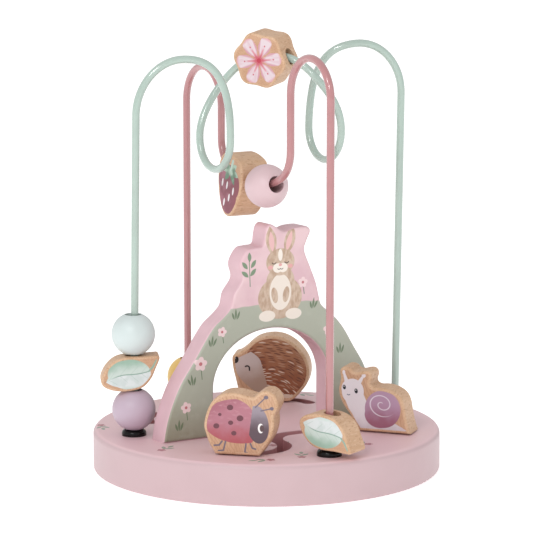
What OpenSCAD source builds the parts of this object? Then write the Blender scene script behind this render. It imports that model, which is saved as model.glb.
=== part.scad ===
// Bead maze: a round base of two boards, a standing arch, two bent wires that
// carry beads, and three wooden animals that run in tracks cut in the base.
// Sizes are in millimetres. The origin is the middle of the underside, X runs
// along the arch, -Y is the front of the arch and Z is up.

/* [Base] */
// Diameter of the base
base_d = 200; // [190:1:230]
// Thickness of the deck, which is the upper board
deck_h = 12; // [11:0.5:14]
// Thickness of the plate, which is the lower board
plate_h = 11.4; // [11:0.1:14]
// Rounding of the deck's upper rim
rim_r = 3; // [1:0.5:5]
// Rounding of the plate's lower rim
sole_r = 1.5; // [0.5:0.5:3]
// Diameter of the circle of screws that hold the two boards together
base_screw_circle_d = 176; // [172:1:180]
// Number of those screws
base_screw_count = 4; // [3:1:4]

/* [Tracks] */
// Width of the slots in the deck
slot_w = 8.4; // [8.2:0.1:9]
// Width of the channels in the plate under the slots
channel_w = 15; // [14.6:0.1:16]
// Depth of the channels
channel_depth = 6; // [5.8:0.1:7]
// Radius of the round lobes of a track
lobe_r = 19; // [18:0.5:20]
// Radius of the hump between two lobes
hump_r = 16; // [15:0.5:17]
// Distance of the centres of lobes and humps from the X axis
track_y = 41; // [40:0.5:42]
// Radius of the long sweep that the front track ends in
sweep_r = 67.4; // [64:0.2:72]
// Angle around the sweep's centre at which it ends
sweep_end = 34; // [32:1:36]

/* [Glides] */
// Diameter of a glide's stem in the slot
stem_d = 7.8; // [7.4:0.1:8]
// Diameter of a glide's foot in the channel
glide_foot_d = 14; // [12:0.2:14.2]
// Thickness of a glide's foot
glide_foot_h = 3; // [2.5:0.1:3]
// Play between a glide's foot and the underside of the deck
glide_play = 0.4; // [0.3:0.1:0.5]
// Height of a glide's stem above the deck
stem_rise = 0.5; // [0.4:0.1:0.8]
// Gap between pieces that turn on each other
turn_gap = 0.3; // [0.3:0.05:0.4]

/* [Screws] */
// Diameter of a screw's shank
screw_d = 4; // [3.5:0.1:4.2]
// Diameter of a screw's head
screw_head_d = 8; // [7:0.2:8.4]
// Height of a screw's head
screw_head_h = 2; // [1.8:0.1:2]
// Width of the drive recess in a screw's head
drive_w = 4; // [3:0.2:4.4]
// Depth of the drive recess
drive_depth = 1; // [0.8:0.1:1.2]
// Play of a screw in its hole, across the hole
screw_play = 0.2; // [0.1:0.05:0.4]
// Play of a screw in a glide's bore, across the bore
glide_bore_play = 0.6; // [0.5:0.1:0.8]
// Reach of the screws of the arch and the animals into the wood
screw_reach = 16; // [12:1:18]
// Cover of deck left above the screws that hold the two boards
screw_cover = 3; // [2:0.5:4]

/* [Arch] */
// Distance along X between the arch's feet and the mint wire's posts, if not turned
arch_post_gap = 8.6; // [7:0.1:11]
// Height of the arch
arch_h = 118.9; // [110:0.1:120]
// Thickness of the arch
arch_t = 15; // [14:0.5:18]
// Place of the arch's middle along X
arch_x = -3.2; // [-5:0.1:0]
// Place of the arch's middle along Y
arch_y = -4.2; // [-5:0.1:-3]
// Width of each foot of the arch
arch_foot_w = 32.6; // [30:0.2:36]
// Height of the doorway's straight sides
door_side_h = 27; // [22:0.5:30]
// Height of the doorway's round top
door_top_h = 32; // [28:0.5:34]
// Rounding of the edges of the arch
arch_edge_r = 1.8; // [1:0.1:2]

/* [Wires] */
// Diameter of the coated wires
wire_d = 4.4; // [4:0.1:4.6]
// Depth that a wire's end stands in the plate
wire_seat = 6; // [5:0.5:8]
// Diameter of the collars at the wires' feet
collar_d = 14; // [12:0.5:15]
// Height of the collars above the deck
collar_h = 3.5; // [3:0.1:4.5]
// Rounding of the collars' shoulders
collar_edge_r = 2.2; // [1.5:0.1:2.4]
// Diameter of the collars' sleeves in the deck
sleeve_d = 7.6; // [7:0.1:8]

/* [Mint wire] */
// Distance of the mint wire's posts from the Z axis
mint_reach = 79.5; // [78:0.5:81]
// Turn of the mint wire around Z
mint_turn = -12.3; // [-14:0.1:-10]
// Height at which the posts' straight part ends
mint_straight_z = 209; // [200:1:212]
// Height of the two top bends
mint_apex_z = 239.5; // [236:0.5:244]
// Distance of the top bends from the Z axis along the wire
mint_apex_u = 54; // [52:0.5:56]
// Offset of the top bends from the wire's plane
mint_apex_v = 4; // [3:0.5:5]
// Lean of the bent top towards the right post
mint_sway = 2.5; // [0:0.1:3]
// Slope of the bent top, which lifts its right bend and lowers its left one
mint_tip = 3.2; // [0:0.1:4]
// Radius of the hanging loops
loop_r = 17.4; // [16:0.2:19]
// Distance of the loops from the Z axis along the wire
loop_u = 33; // [32:0.5:34]
// Height of the loops' middle
loop_z = 192.5; // [190:0.5:196]
// Turn of the loops, which stand across the wire
loop_turn = 12.3; // [8:0.1:16]
// Radius of the dome in the middle
dome_r = 36; // [35:0.5:38]
// Height of the dome
dome_z = 237.5; // [236:0.5:240]
// Half of the dome's arc
dome_half = 44; // [42:1:45]
// Turn of the dome from the wire's plane
dome_turn = -43.7; // [-46:0.1:-40]

/* [Pink wire] */
// Distance of the pink wire's posts from the X axis
pink_reach = 83; // [82:0.5:84]
// Place of the pink wire's middle along X
pink_x = -7.5; // [-9:0.1:-6]
// Turn of the pink wire around Z
pink_turn = -1.4; // [-3:0.1:0]
// Height of the front bend
pink_front_z = 240; // [236:0.5:242]
// Height of the back bend
pink_back_z = 227; // [224:0.5:232]
// Radius of the two upper bends
pink_bend_r = 21.5; // [20:0.5:23]
// Height of the wire's lowest point between its inner legs
pink_low_z = 164; // [163:0.5:167]
// Radius of the long arc at the bottom
pink_low_r = 70; // [66:1:76]
// Radius of the corners beside it
pink_corner_r = 18; // [16:0.5:20]

/* [Beads] */
// Diameter of the round beads
ball_d = 24.7; // [24:0.1:25.5]
// Height of a round bead between its flat ends
ball_h = 22.4; // [21:0.1:22.6]
// Diameter of the bores
bore_d = 9.5; // [9:0.1:10]
// Rounding of the beads' edges
bead_edge_r = 1.2; // [0.8:0.1:1.5]
// Gap between beads that rest on each other
bead_gap = 0.3; // [0.3:0.05:0.5]
// Length of a leaf bead
leaf_w = 33; // [31:0.5:34]
// Height of a leaf bead
leaf_h = 20.4; // [20:0.1:21]
// Thickness of the leaf bead at the left
leaf_left_t = 14.5; // [14:0.5:16]
// Thickness of the leaf bead at the front
leaf_right_t = 16.5; // [15:0.5:17]
// Shift of the front leaf along its length on the loose bore
leaf_shift = 1.8; // [0:0.1:2]
// Distance of the left leaf's bore from the middle of its length
leaf_left_bore = 2.2; // [0:0.1:3]
// Turn of the leaf bead at the left
leaf_left_turn = -25; // [-40:1:0]
// Turn of the leaf bead at the front
leaf_right_turn = -64; // [-70:1:-58]
// Diameter of the flower bead
flower_d = 32.5; // [31:0.5:33]
// Depth of the notches between its petals
flower_notch = 1.7; // [1:0.1:2]
// Thickness of the flower bead
flower_t = 19; // [17:0.5:20]
// Place of the flower bead along the dome's arc
flower_at = -5; // [-6:0.5:6]
// Roll of the flower bead, which tips its face down
flower_roll = 5; // [0:1:8]
// Drop of the flower's bore below the wire
flower_drop = 1.75; // [1.5:0.05:2]
// Width of the strawberry bead
berry_w = 28; // [27:0.5:28.5]
// Height of the strawberry bead
berry_h = 36; // [34:0.5:36.5]
// Thickness of the strawberry bead
berry_t = 18; // [17:0.5:19]
// Height of the strawberry's bore above its middle
berry_bore_z = 2.6; // [0:0.1:3]
// Place along the bottom arc where the pink ball and the strawberry meet
low_meet = -0.8; // [-2:0.1:2]
// Drop of these two beads' bores below the wire
low_drop = 0.5; // [0.3:0.1:0.7]

/* [Animals] */
// Thickness of the animals
animal_t = 16.5; // [16:0.5:18]
// Rounding of the animals' edges
animal_edge_r = 1.5; // [1:0.1:1.8]
// Width of the ladybird
ladybird_w = 42; // [40:0.5:43]
// Height of the ladybird
ladybird_h = 36.5; // [35:0.5:38]
// Place of the ladybird around its lobe
ladybird_at = -137.5; // [-140:0.5:-130]
// Turn of the ladybird
ladybird_turn = -44; // [-60:1:-30]
// Width of the snail
snail_w = 43; // [41:0.5:44]
// Height of the snail
snail_h = 36.5; // [35:0.5:38]
// Place of the snail around the sweep's centre
snail_at = 39.5; // [38:0.5:42]
// Turn of the snail
snail_turn = -51; // [-60:1:-40]
// Width of the hedgehog
hedgehog_w = 46.7; // [44:0.1:47]
// Height of the hedgehog
hedgehog_h = 40; // [38:0.5:42]
// Place of the hedgehog around its lobe
hedgehog_at = 83; // [78:0.5:88]
// Turn of the hedgehog
hedgehog_turn = -38; // [-50:1:-20]

/* [Hidden] */

// Facets of exact round faces, and the sides and steps of swept and rounded ones
$fn = 96;
wire_sides = 12;
bend_steps = 14;
edge_steps = 2;
spline_steps = 3;

// Shares of the main sizes
leg_lead_shares = [2.2, 1.2];
dome_lead_shares = [1.1, 1.2];
quarter_lead_share = 1.657;
screw_pair_share = 0.22;
low_close_share = 0.2;
base_screw_turn = 57;

// Outlines as shares of width and height, from the right foot over the top to the left
ladybird_shares = [
  [0.243, 0], [0.33, 0.144], [0.409, 0.302], [0.443, 0.48], [0.437, 0.6],
  [0.46, 0.668], [0.493, 0.757], [0.491, 0.846], [0.443, 0.946], [0.365, 0.997],
  [0.278, 0.987], [0.213, 0.94], [0.165, 0.895], [0.06, 0.918], [-0.07, 0.946],
  [-0.209, 0.938], [-0.322, 0.876], [-0.409, 0.767], [-0.47, 0.609],
  [-0.499, 0.431], [-0.474, 0.302], [-0.43, 0.163], [-0.348, 0]];
snail_shares = [
  [0.5, 0], [0.456, 0.161], [0.427, 0.328], [0.404, 0.466], [0.361, 0.572],
  [0.285, 0.644], [0.196, 0.685], [0.097, 0.702], [0.007, 0.697],
  [-0.05, 0.724], [-0.063, 0.78], [-0.048, 0.841], [-0.056, 0.91],
  [-0.1, 0.951], [-0.163, 0.948], [-0.235, 0.926], [-0.298, 0.936],
  [-0.338, 0.98], [-0.396, 1], [-0.455, 0.986], [-0.486, 0.928],
  [-0.475, 0.829], [-0.484, 0.748], [-0.5, 0.636], [-0.484, 0.518],
  [-0.423, 0.374], [-0.352, 0.261], [-0.289, 0.137], [-0.208, 0]];
hedgehog_shares = [
  [0.233, 0], [0.306, 0.05], [0.387, 0.15], [0.46, 0.262], [0.494, 0.378],
  [0.5, 0.495], [0.476, 0.622], [0.414, 0.749], [0.324, 0.865], [0.206, 0.956],
  [0.08, 0.998], [-0.047, 0.995], [-0.165, 0.956], [-0.255, 0.887],
  [-0.337, 0.797], [-0.409, 0.735], [-0.468, 0.709], [-0.497, 0.664],
  [-0.498, 0.579], [-0.483, 0.463], [-0.454, 0.325], [-0.423, 0.177],
  [-0.391, 0.071], [-0.337, 0]];
arch_shares = [
  [0.5, 0], [0.485, 0.14], [0.446, 0.266], [0.394, 0.367], [0.348, 0.456],
  [0.304, 0.518], [0.265, 0.557], [0.236, 0.59], [0.226, 0.63], [0.21, 0.702],
  [0.181, 0.786], [0.156, 0.86], [0.166, 0.905], [0.183, 0.95], [0.166, 0.976],
  [0.107, 0.976], [0.06, 0.962], [0.027, 0.982], [-0.003, 1], [-0.024, 0.986],
  [-0.033, 0.949], [-0.042, 0.9], [-0.08, 0.894], [-0.117, 0.883],
  [-0.15, 0.818], [-0.14, 0.745], [-0.178, 0.678], [-0.192, 0.616],
  [-0.225, 0.575], [-0.279, 0.52], [-0.359, 0.382], [-0.431, 0.256],
  [-0.481, 0.112], [-0.5, 0]];
leaf_shares = [
  [0.48, -0.49], [0.5, -0.4], [0.43, -0.12], [0.35, 0.16], [0.2, 0.4],
  [-0.03, 0.492], [-0.27, 0.475], [-0.45, 0.36], [-0.5, 0.16], [-0.42, -0.14],
  [-0.26, -0.38], [-0.05, -0.47], [0.2, -0.475], [0.4, -0.493]];
berry_shares = [
  [0.49, 0.06], [0.485, 0.28], [0.36, 0.45], [0.13, 0.498], [-0.13, 0.498],
  [-0.36, 0.45], [-0.485, 0.28], [-0.49, 0.06], [-0.41, -0.18], [-0.27, -0.38],
  [-0.1, -0.493], [0.1, -0.493], [0.27, -0.38], [0.41, -0.18]];

// Points that see the whole outline, as shares of width and height
arch_centre_share = [-0.021, 0.59];
ladybird_centre_share = [0, 0.5];
snail_centre_share = [-0.2, 0.45];
hedgehog_centre_share = [0, 0.4];

// Where each animal's foot has its screw, as a share of its width
ladybird_foot_share = -0.05;
snail_foot_share = 0.146;
hedgehog_foot_share = -0.05;

// Heights worked out from the boards
base_h = deck_h + plate_h;
channel_z = plate_h - channel_depth;
glide_foot_top = plate_h - glide_play;
glide_foot_z = glide_foot_top - glide_foot_h;
stem_top = base_h + stem_rise;
animal_z = stem_top + turn_gap;
bead_z = base_h + collar_h + bead_gap;
eps = wire_d / 100;

// The arch stands between the mint wire's posts, with its doorway between its feet
arch_w = (mint_reach - arch_post_gap) * 2;
door_w = arch_w - arch_foot_w * 2;

// Places of the wires' feet
mint_feet = [for (side = [-1, 1]) mint_reach * side * [cos(mint_turn), sin(mint_turn)]];
pink_feet = [for (side = [-1, 1])
  [pink_x, 0] + pink_reach * side * [-sin(pink_turn), cos(pink_turn)]];

// Places on the tracks
lobe_x = lobe_r + hump_r;
sweep_y = hump_r - track_y - sweep_r;
ladybird_xy = [-lobe_x, -track_y] + lobe_r * [cos(ladybird_at), sin(ladybird_at)];
snail_xy = [0, sweep_y] + sweep_r * [cos(snail_at), sin(snail_at)];
hedgehog_xy = [lobe_x, track_y] + lobe_r * [cos(hedgehog_at), sin(hedgehog_at)];

// Curves

function unit(v) = v / norm(v);

// A closed or open curve through points, with steps between each pair of them
function between(p, q, r, s, t) = q + t / 2 * ((r - p)
  + t * ((2 * p - 5 * q + 4 * r - s) + t * (3 * (q - r) + s - p)));

function closed_curve(pts, steps) = let (n = len(pts)) [for (i = [0 : n - 1])
  for (k = [0 : steps - 1])
    between(pts[(i + n - 1) % n], pts[i], pts[(i + 1) % n], pts[(i + 2) % n], k / steps)];

function open_curve(pts, steps) = let (n = len(pts)) concat([for (i = [0 : n - 2])
  for (k = [0 : steps - 1])
    between(pts[max(i - 1, 0)], pts[i], pts[i + 1], pts[min(i + 2, n - 1)], k / steps)],
  [pts[n - 1]]);

// A curve from p to q that starts along a and ends along b, without its last point
function lead(p, a, q, b, steps) = [for (k = [0 : steps - 1]) let (t = k / steps)
  p * (1 - 3 * t * t + 2 * t * t * t) + q * (3 * t * t - 2 * t * t * t)
  + a * (t - 2 * t * t + t * t * t) + b * (t * t * t - t * t)];

function scaled(shares, w, h) = [for (s = shares) [s[0] * w, s[1] * h]];

// An outline moved inwards by d, for points that run anticlockwise
function inset(pts, d) = let (n = len(pts)) [for (i = [0 : n - 1])
  let (a = unit(pts[i] - pts[(i + n - 1) % n]), b = unit(pts[(i + 1) % n] - pts[i]))
  pts[i] + d * ([-a[1], a[0]] + [-b[1], b[0]]) / (1 + a * b)];

// Solids along an outline or a path

// The edge of a plaque of thickness t, rounded by r: places along Y, each with its inset
function edge_rings(t, r) = let (turns = [for (k = [0 : edge_steps]) 90 * k / edge_steps])
  concat(
    [for (k = [0 : edge_steps]) [-t / 2 + r * (1 - cos(turns[k])), r * (1 - sin(turns[k]))]],
    [for (k = [edge_steps : -1 : 0]) [t / 2 - r * (1 - cos(turns[k])), r * (1 - sin(turns[k]))]]);

// A solid with its outline in XZ, anticlockwise as seen from -Y. Its two faces are fans
// around a centre that sees the whole outline
module ringed(pts, rings, centre) {
  n = len(pts);
  last = len(rings) - 1;
  front = n * len(rings);
  back = front + 1;
  points = concat([for (g = rings) for (p = inset(pts, g[1])) [p[0], g[0], p[1]]],
    [for (g = [rings[0], rings[last]]) [centre[0], g[0], centre[1]]]);
  sides = [for (g = [0 : last - 1]) for (i = [0 : n - 1])
    let (j = (i + 1) % n, a = g * n, b = a + n) [a + j, b + j, b + i, a + i]];
  caps = [for (i = [0 : n - 1]) let (j = (i + 1) % n)
    each [[front, j, i], [back, last * n + i, last * n + j]]];
  polyhedron(points, concat(sides, caps), convexity = 6);
}

// A plaque of thickness t with rounded edges, its outline in XZ and its face at -Y
module plaque(pts, t, r, centre = [0, 0])
  ringed(pts, edge_rings(t, r), centre);

// A round wire along a path of points
module wire(path, d) {
  n = len(path);
  along = [for (i = [0 : n - 1]) unit(path[min(i + 1, n - 1)] - path[max(i - 1, 0)])];
  across = [for (i = 0, x = [1, 0, 0]; i < n;
      i = i + 1, x = unit(x - (x * along[min(i, n - 1)]) * along[min(i, n - 1)])) x];
  points = [for (i = [0 : n - 1]) for (k = [0 : wire_sides - 1])
    let (x = unit(across[i] - (across[i] * along[i]) * along[i]), y = cross(along[i], x),
      a = 360 * k / wire_sides)
    path[i] + d / 2 * (cos(a) * x + sin(a) * y)];
  sides = [for (i = [0 : n - 2]) for (k = [0 : wire_sides - 1])
    let (j = (k + 1) % wire_sides, a = i * wire_sides, b = a + wire_sides)
    [a + k, b + k, b + j, a + j]];
  start = [for (k = [0 : wire_sides - 1]) k];
  end = [for (k = [wire_sides - 1 : -1 : 0]) (n - 1) * wire_sides + k];
  polyhedron(points, concat([start], sides, [end]), convexity = 10);
}

// Part of a ring with a rectangular section
module ring_part(r, w, h, from, to)
  rotate([0, 0, from])
    rotate_extrude(angle = to - from)
      translate([r - w / 2, 0])
        square([w, h]);

// The round end of a slot, a hair wider than the slot so that it takes in the ring's end
module slot_end(w, h)
  cylinder(h = h, d = w + eps);

// Both tracks as a cut of width w and height h
module tracks(w, h) {
  for (side = [-1, 1]) {
    turned = side < 0 ? 180 : 0;
    translate([-lobe_x, side * track_y, 0]) {
      ring_part(lobe_r, w, h, turned, turned + 180);
      translate([-lobe_r, 0, 0]) slot_end(w, h);
    }
  }
  translate([0, -track_y, 0]) {
    ring_part(hump_r, w, h, 90, 180);
    translate([0, hump_r, 0]) slot_end(w, h);
  }
  translate([0, track_y, 0]) ring_part(hump_r, w, h, 180, 360);
  translate([lobe_x, track_y, 0]) {
    ring_part(lobe_r, w, h, 0, 180);
    translate([lobe_r, 0, 0]) slot_end(w, h);
  }
  translate([0, sweep_y, 0]) {
    ring_part(sweep_r, w, h, sweep_end, 90);
    rotate([0, 0, sweep_end])
      translate([sweep_r, 0, 0])
        slot_end(w, h);
  }
}

// Base

// Places of the screws through the boards and into the arch's feet
base_screw_places = [for (i = [0 : base_screw_count - 1])
  let (a = base_screw_turn + 360 * i / base_screw_count)
  base_screw_circle_d / 2 * [cos(a), sin(a)]];
arch_screw_places = [for (side = [-1, 1]) for (pair = [-1, 1])
  [arch_x + side * (arch_w - arch_foot_w) / 2 + pair * arch_foot_w * screw_pair_share, arch_y]];

module at_places(places)
  for (p = places)
    translate([p[0], p[1], 0])
      children();

// A sunk screw that stands head down, with its head's face at the underside
module sunk_screw(top)
  difference() {
    union() {
      cylinder(h = screw_head_h, d1 = screw_head_d, d2 = screw_d);
      translate([0, 0, screw_head_h]) cylinder(h = top - screw_head_h, d = screw_d);
    }
    translate([0, 0, -drive_depth]) cylinder(h = drive_depth * 2, d = drive_w);
  }

// The hole that such a screw goes through
module sunk_hole(top) {
  wide = screw_d + screw_play;
  translate([0, 0, -eps]) cylinder(h = eps + screw_head_h, d = screw_head_d + screw_play);
  cylinder(h = top, d = wide);
}

// The right half of a disc's section, with a rounded upper edge
module disc_half(r, h, edge) {
  square([r, h - edge]);
  square([r - edge, h]);
  translate([r - edge, h - edge])
    intersection() {
      circle(r = edge);
      square([edge, edge]);
    }
}

module base_deck()
  color([0.87, 0.76, 0.78])
    difference() {
      translate([0, 0, plate_h])
        rotate_extrude() disc_half(base_d / 2, deck_h, rim_r);
      translate([0, 0, plate_h - eps]) tracks(slot_w, deck_h + eps * 2);
      at_places(concat(mint_feet, pink_feet))
        translate([0, 0, plate_h - eps])
          cylinder(h = deck_h + eps * 2, d = sleeve_d + screw_play);
      at_places(base_screw_places) sunk_hole(base_h - screw_cover + screw_play);
      at_places(arch_screw_places) sunk_hole(base_h + eps);
    }

module base_plate()
  color([0.85, 0.74, 0.76])
    difference() {
      translate([0, 0, plate_h])
        mirror([0, 0, 1])
          rotate_extrude() disc_half(base_d / 2, plate_h, sole_r);
      translate([0, 0, channel_z]) tracks(channel_w, channel_depth + eps);
      at_places(concat(mint_feet, pink_feet))
        translate([0, 0, plate_h - wire_seat])
          cylinder(h = wire_seat + eps, d = wire_d + screw_play);
      at_places(base_screw_places) sunk_hole(plate_h + eps);
      at_places(arch_screw_places) sunk_hole(plate_h + eps);
    }

module base_screws()
  color([0.72, 0.73, 0.74])
    at_places(base_screw_places) sunk_screw(base_h - screw_cover);

// Arch

door_steps = 24;
door_outline = concat([[-door_w / 2, -arch_edge_r], [door_w / 2, -arch_edge_r]],
  [for (k = [0 : door_steps]) let (a = 180 * k / door_steps)
    [door_w / 2 * cos(a), door_side_h + door_top_h * sin(a)]]);

// The doorway's cut flares at both faces, which rounds its edges
door_edge = edge_rings(arch_t, arch_edge_r);
door_rings = concat([[-arch_t / 2 - eps, -arch_edge_r]],
  [for (g = door_edge) [g[0], -g[1]]],
  [[arch_t / 2 + eps, -arch_edge_r]]);

module arch()
  color([0.87, 0.75, 0.77])
    difference() {
      translate([arch_x, arch_y, base_h])
        difference() {
          plaque(open_curve(scaled(arch_shares, arch_w, arch_h), spline_steps),
            arch_t, arch_edge_r, [arch_w * arch_centre_share[0], arch_h * arch_centre_share[1]]);
          ringed(door_outline, door_rings, [0, door_side_h]);
        }
      at_places(arch_screw_places)
        translate([0, 0, base_h - eps])
          cylinder(h = screw_reach + screw_play + eps, d = screw_d + screw_play);
    }

module arch_screws()
  color([0.72, 0.73, 0.74])
    at_places(arch_screw_places) sunk_screw(base_h + screw_reach);

// Wires

// Half of the mint wire from the top of the dome to the post at the right, in the
// wire's own frame: u along the wire, v away from the front, and z up
function dome_point(a) = let (s = dome_r * sin(a))
  [s * cos(dome_turn), s * sin(dome_turn), dome_z - dome_r * (1 - cos(a))];
function loop_point(a) = [loop_u, 0, loop_z]
  + loop_r * [cos(a) * sin(loop_turn), -cos(a) * cos(loop_turn), -sin(a)];

dome_end = dome_point(dome_half);
dome_out = [cos(dome_half) * cos(dome_turn), cos(dome_half) * sin(dome_turn), -sin(dome_half)];
apex = [mint_apex_u, mint_apex_v, mint_apex_z];
apex_out = unit([mint_reach - mint_apex_u, -mint_apex_v, 0]);
down = [0, 0, -1];
foot_z = plate_h - wire_seat;

mint_half = concat(
  [for (k = [0 : bend_steps / 2 - 1]) dome_point(dome_half * 2 * k / bend_steps)],
  lead(dome_end, dome_out * (dome_end[2] - loop_z) * dome_lead_shares[0],
    loop_point(0), down * (dome_end[2] - loop_z) * dome_lead_shares[1], bend_steps),
  [for (k = [0 : bend_steps - 1]) loop_point(180 * k / bend_steps)],
  lead(loop_point(180), -down * (mint_apex_z - loop_z) * leg_lead_shares[0],
    apex, apex_out * (mint_apex_z - loop_z) * leg_lead_shares[1], bend_steps),
  lead(apex, apex_out * (mint_reach - mint_apex_u) * quarter_lead_share,
    [mint_reach, 0, mint_straight_z],
    down * (mint_apex_z - mint_straight_z) * quarter_lead_share, bend_steps),
  [for (z = [mint_straight_z, bead_z, foot_z]) [mint_reach, 0, z]]);

// The bent top leans and slopes, and the posts take up the lean above their collars
function swayed(p) = let (share = (p[2] - bead_z) / (mint_straight_z - bead_z))
  p + max(0, min(share, 1)) * [mint_sway, 0, p[0] * tan(mint_tip)];

mint_path = [for (p = concat(
    [for (i = [len(mint_half) - 1 : -1 : 1]) let (q = mint_half[i]) [-q[0], -q[1], q[2]]],
    mint_half))
  swayed(p)];

module mint_wire()
  color([0.74, 0.84, 0.78])
    rotate([0, 0, mint_turn]) wire(mint_path, wire_d);

// The pink wire lies in one upright plane: u along the wire from front to back
pink_leg_u = pink_reach - pink_bend_r * 2;
pink_low_half = asin((pink_leg_u - pink_corner_r) / (pink_low_r - pink_corner_r));
pink_low_centre_z = pink_low_z + pink_low_r;
pink_corner_z = pink_low_centre_z - (pink_low_r - pink_corner_r) * cos(pink_low_half);

function pink_half(top) = let (bend_z = top - pink_bend_r, turns = 90 - pink_low_half)
  concat(
    [for (k = [0 : bend_steps / 2 - 1]) let (a = pink_low_half * 2 * k / bend_steps)
      [0, pink_low_r * sin(a), pink_low_centre_z - pink_low_r * cos(a)]],
    [for (k = [0 : bend_steps / 2]) let (a = pink_low_half + turns * 2 * k / bend_steps)
      [0, pink_leg_u - pink_corner_r * (1 - sin(a)), pink_corner_z - pink_corner_r * cos(a)]],
    [for (k = [0 : bend_steps]) let (a = 180 - 180 * k / bend_steps)
      [0, pink_reach - pink_bend_r + pink_bend_r * cos(a), bend_z + pink_bend_r * sin(a)]],
    [[0, pink_reach, foot_z]]);
pink_front = pink_half(pink_front_z);
pink_path = concat(
  [for (i = [len(pink_front) - 1 : -1 : 1]) let (p = pink_front[i]) [0, -p[1], p[2]]],
  pink_half(pink_back_z));

module on_pink()
  translate([pink_x, 0, 0])
    rotate([0, 0, pink_turn])
      children();

module pink_wire()
  color([0.82, 0.58, 0.6])
    on_pink() wire(pink_path, wire_d);

// A collar with round shoulders, and a sleeve that goes down into the deck
module collar(place)
  color([0.07, 0.06, 0.06])
    translate([place[0], place[1], 0])
      difference() {
        union() {
          translate([0, 0, base_h]) rotate_extrude() disc_half(collar_d / 2, collar_h, collar_edge_r);
          translate([0, 0, plate_h]) cylinder(h = deck_h, d = sleeve_d);
        }
        translate([0, 0, plate_h - eps])
          cylinder(h = deck_h + collar_h + eps * 2, d = wire_d + screw_play);
      }

module collar_mint_left() collar(mint_feet[0]);
module collar_mint_right() collar(mint_feet[1]);
module collar_pink_front() collar(pink_feet[0]);
module collar_pink_back() collar(pink_feet[1]);

// Beads

// A round bead with flat ends, its bore along Z and its middle at the origin
module ball()
  rotate_extrude()
    intersection() {
      circle(d = ball_d);
      translate([bore_d / 2, -ball_h / 2]) square([ball_d / 2, ball_h]);
    }

module stacked_ball(place, z)
  translate([place[0], place[1], z + ball_h / 2]) ball();

// A leaf bead, its bore along Z and its lower side on the origin
module leaf_bead(t, up, shift, bore)
  difference() {
    outline = closed_curve(scaled(leaf_shares, leaf_w, leaf_h), spline_steps);
    translate([shift, 0, leaf_h / 2])
      mirror([0, 0, up ? 1 : 0])
        plaque(outline, t, bead_edge_r);
    translate([bore, 0, -leaf_h / 2]) cylinder(h = leaf_h * 2, d = bore_d);
  }

leaf_left_z = bead_z + ball_h + bead_gap;
mint_ball_z = leaf_left_z + leaf_h + bead_gap;

module lilac_ball()
  color([0.79, 0.71, 0.77])
    stacked_ball(mint_feet[0], bead_z);

module leaf_bead_left()
  color([0.82, 0.64, 0.47])
    translate([mint_feet[0][0], mint_feet[0][1], leaf_left_z])
      rotate([0, 0, leaf_left_turn])
        leaf_bead(leaf_left_t, true, -leaf_left_bore, 0);

module mint_ball()
  color([0.87, 0.91, 0.91])
    stacked_ball(mint_feet[0], mint_ball_z);

module yellow_ball()
  color([0.87, 0.72, 0.43])
    stacked_ball(pink_feet[1], bead_z);

module leaf_bead_front()
  color([0.82, 0.64, 0.47])
    translate([pink_feet[0][0], pink_feet[0][1], bead_z])
      rotate([0, 0, leaf_right_turn])
        leaf_bead(leaf_right_t, false, leaf_shift, leaf_shift);

// The flower bead: six soft petals, with the bore from side to side
petals = 6;
petal_steps = 9;
flower_outline = [for (i = [0 : petals * petal_steps - 1])
  let (a = 360 * i / (petals * petal_steps),
    r = flower_d / 2 - flower_notch * (0.5 - 0.5 * cos(petals * a)))
  r * [cos(a), sin(a)]];

module flower_bead()
  color([0.82, 0.64, 0.47])
    rotate([0, 0, mint_turn])
      translate([mint_sway, 0, dome_z - dome_r])
        rotate([0, 0, dome_turn])
          rotate([0, flower_at, 0])
            translate([0, 0, dome_r - flower_drop])
              rotate([flower_roll, 0, 0])
                difference() {
                  rotate([0, 15, 0]) plaque(flower_outline, flower_t, bead_edge_r);
                  rotate([0, 90, 0]) cylinder(h = flower_d * 2, d = bore_d, center = true);
                }

// Angles of the beads on the low arc, which come closest to each other above the wire
low_close_r = pink_low_r - ball_d * low_close_share;
function low_angle(along) = along / low_close_r * 180 / PI;
berry_at = low_angle(low_meet + (berry_w + bead_gap) / 2);
pink_ball_at = low_angle(low_meet - (ball_h + bead_gap) / 2);

// The beads on the pink wire's low arc, turned around the arc's centre
module on_low_arc(at)
  on_pink()
    translate([0, 0, pink_low_centre_z])
      rotate([at, 0, 0])
        translate([0, 0, -pink_low_r - low_drop])
          children();

module strawberry_bead()
  color([0.82, 0.64, 0.47])
    on_low_arc(berry_at)
      rotate([0, 0, -90])
        difference() {
          translate([0, 0, -berry_bore_z])
            plaque(closed_curve(scaled(berry_shares, berry_w, berry_h), spline_steps),
              berry_t, bead_edge_r);
          rotate([0, 90, 0]) cylinder(h = berry_w * 2, d = bore_d, center = true);
        }

module pink_ball()
  color([0.91, 0.77, 0.79])
    on_low_arc(pink_ball_at)
      rotate([90, 0, 0]) ball();

// Animals

// An animal that stands on its glide, with the hole for its screw
module animal(place, turn, shares, w, h, foot_share, centre_share)
  color([0.84, 0.67, 0.5])
    translate([place[0], place[1], animal_z])
      rotate([0, 0, turn])
        difference() {
          translate([-foot_share * w, 0, 0])
            plaque(open_curve(scaled(shares, w, h), spline_steps), animal_t, animal_edge_r,
              [w * centre_share[0], h * centre_share[1]]);
          translate([0, 0, -eps])
            cylinder(h = screw_reach + screw_play + eps, d = screw_d + screw_play);
        }

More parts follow.
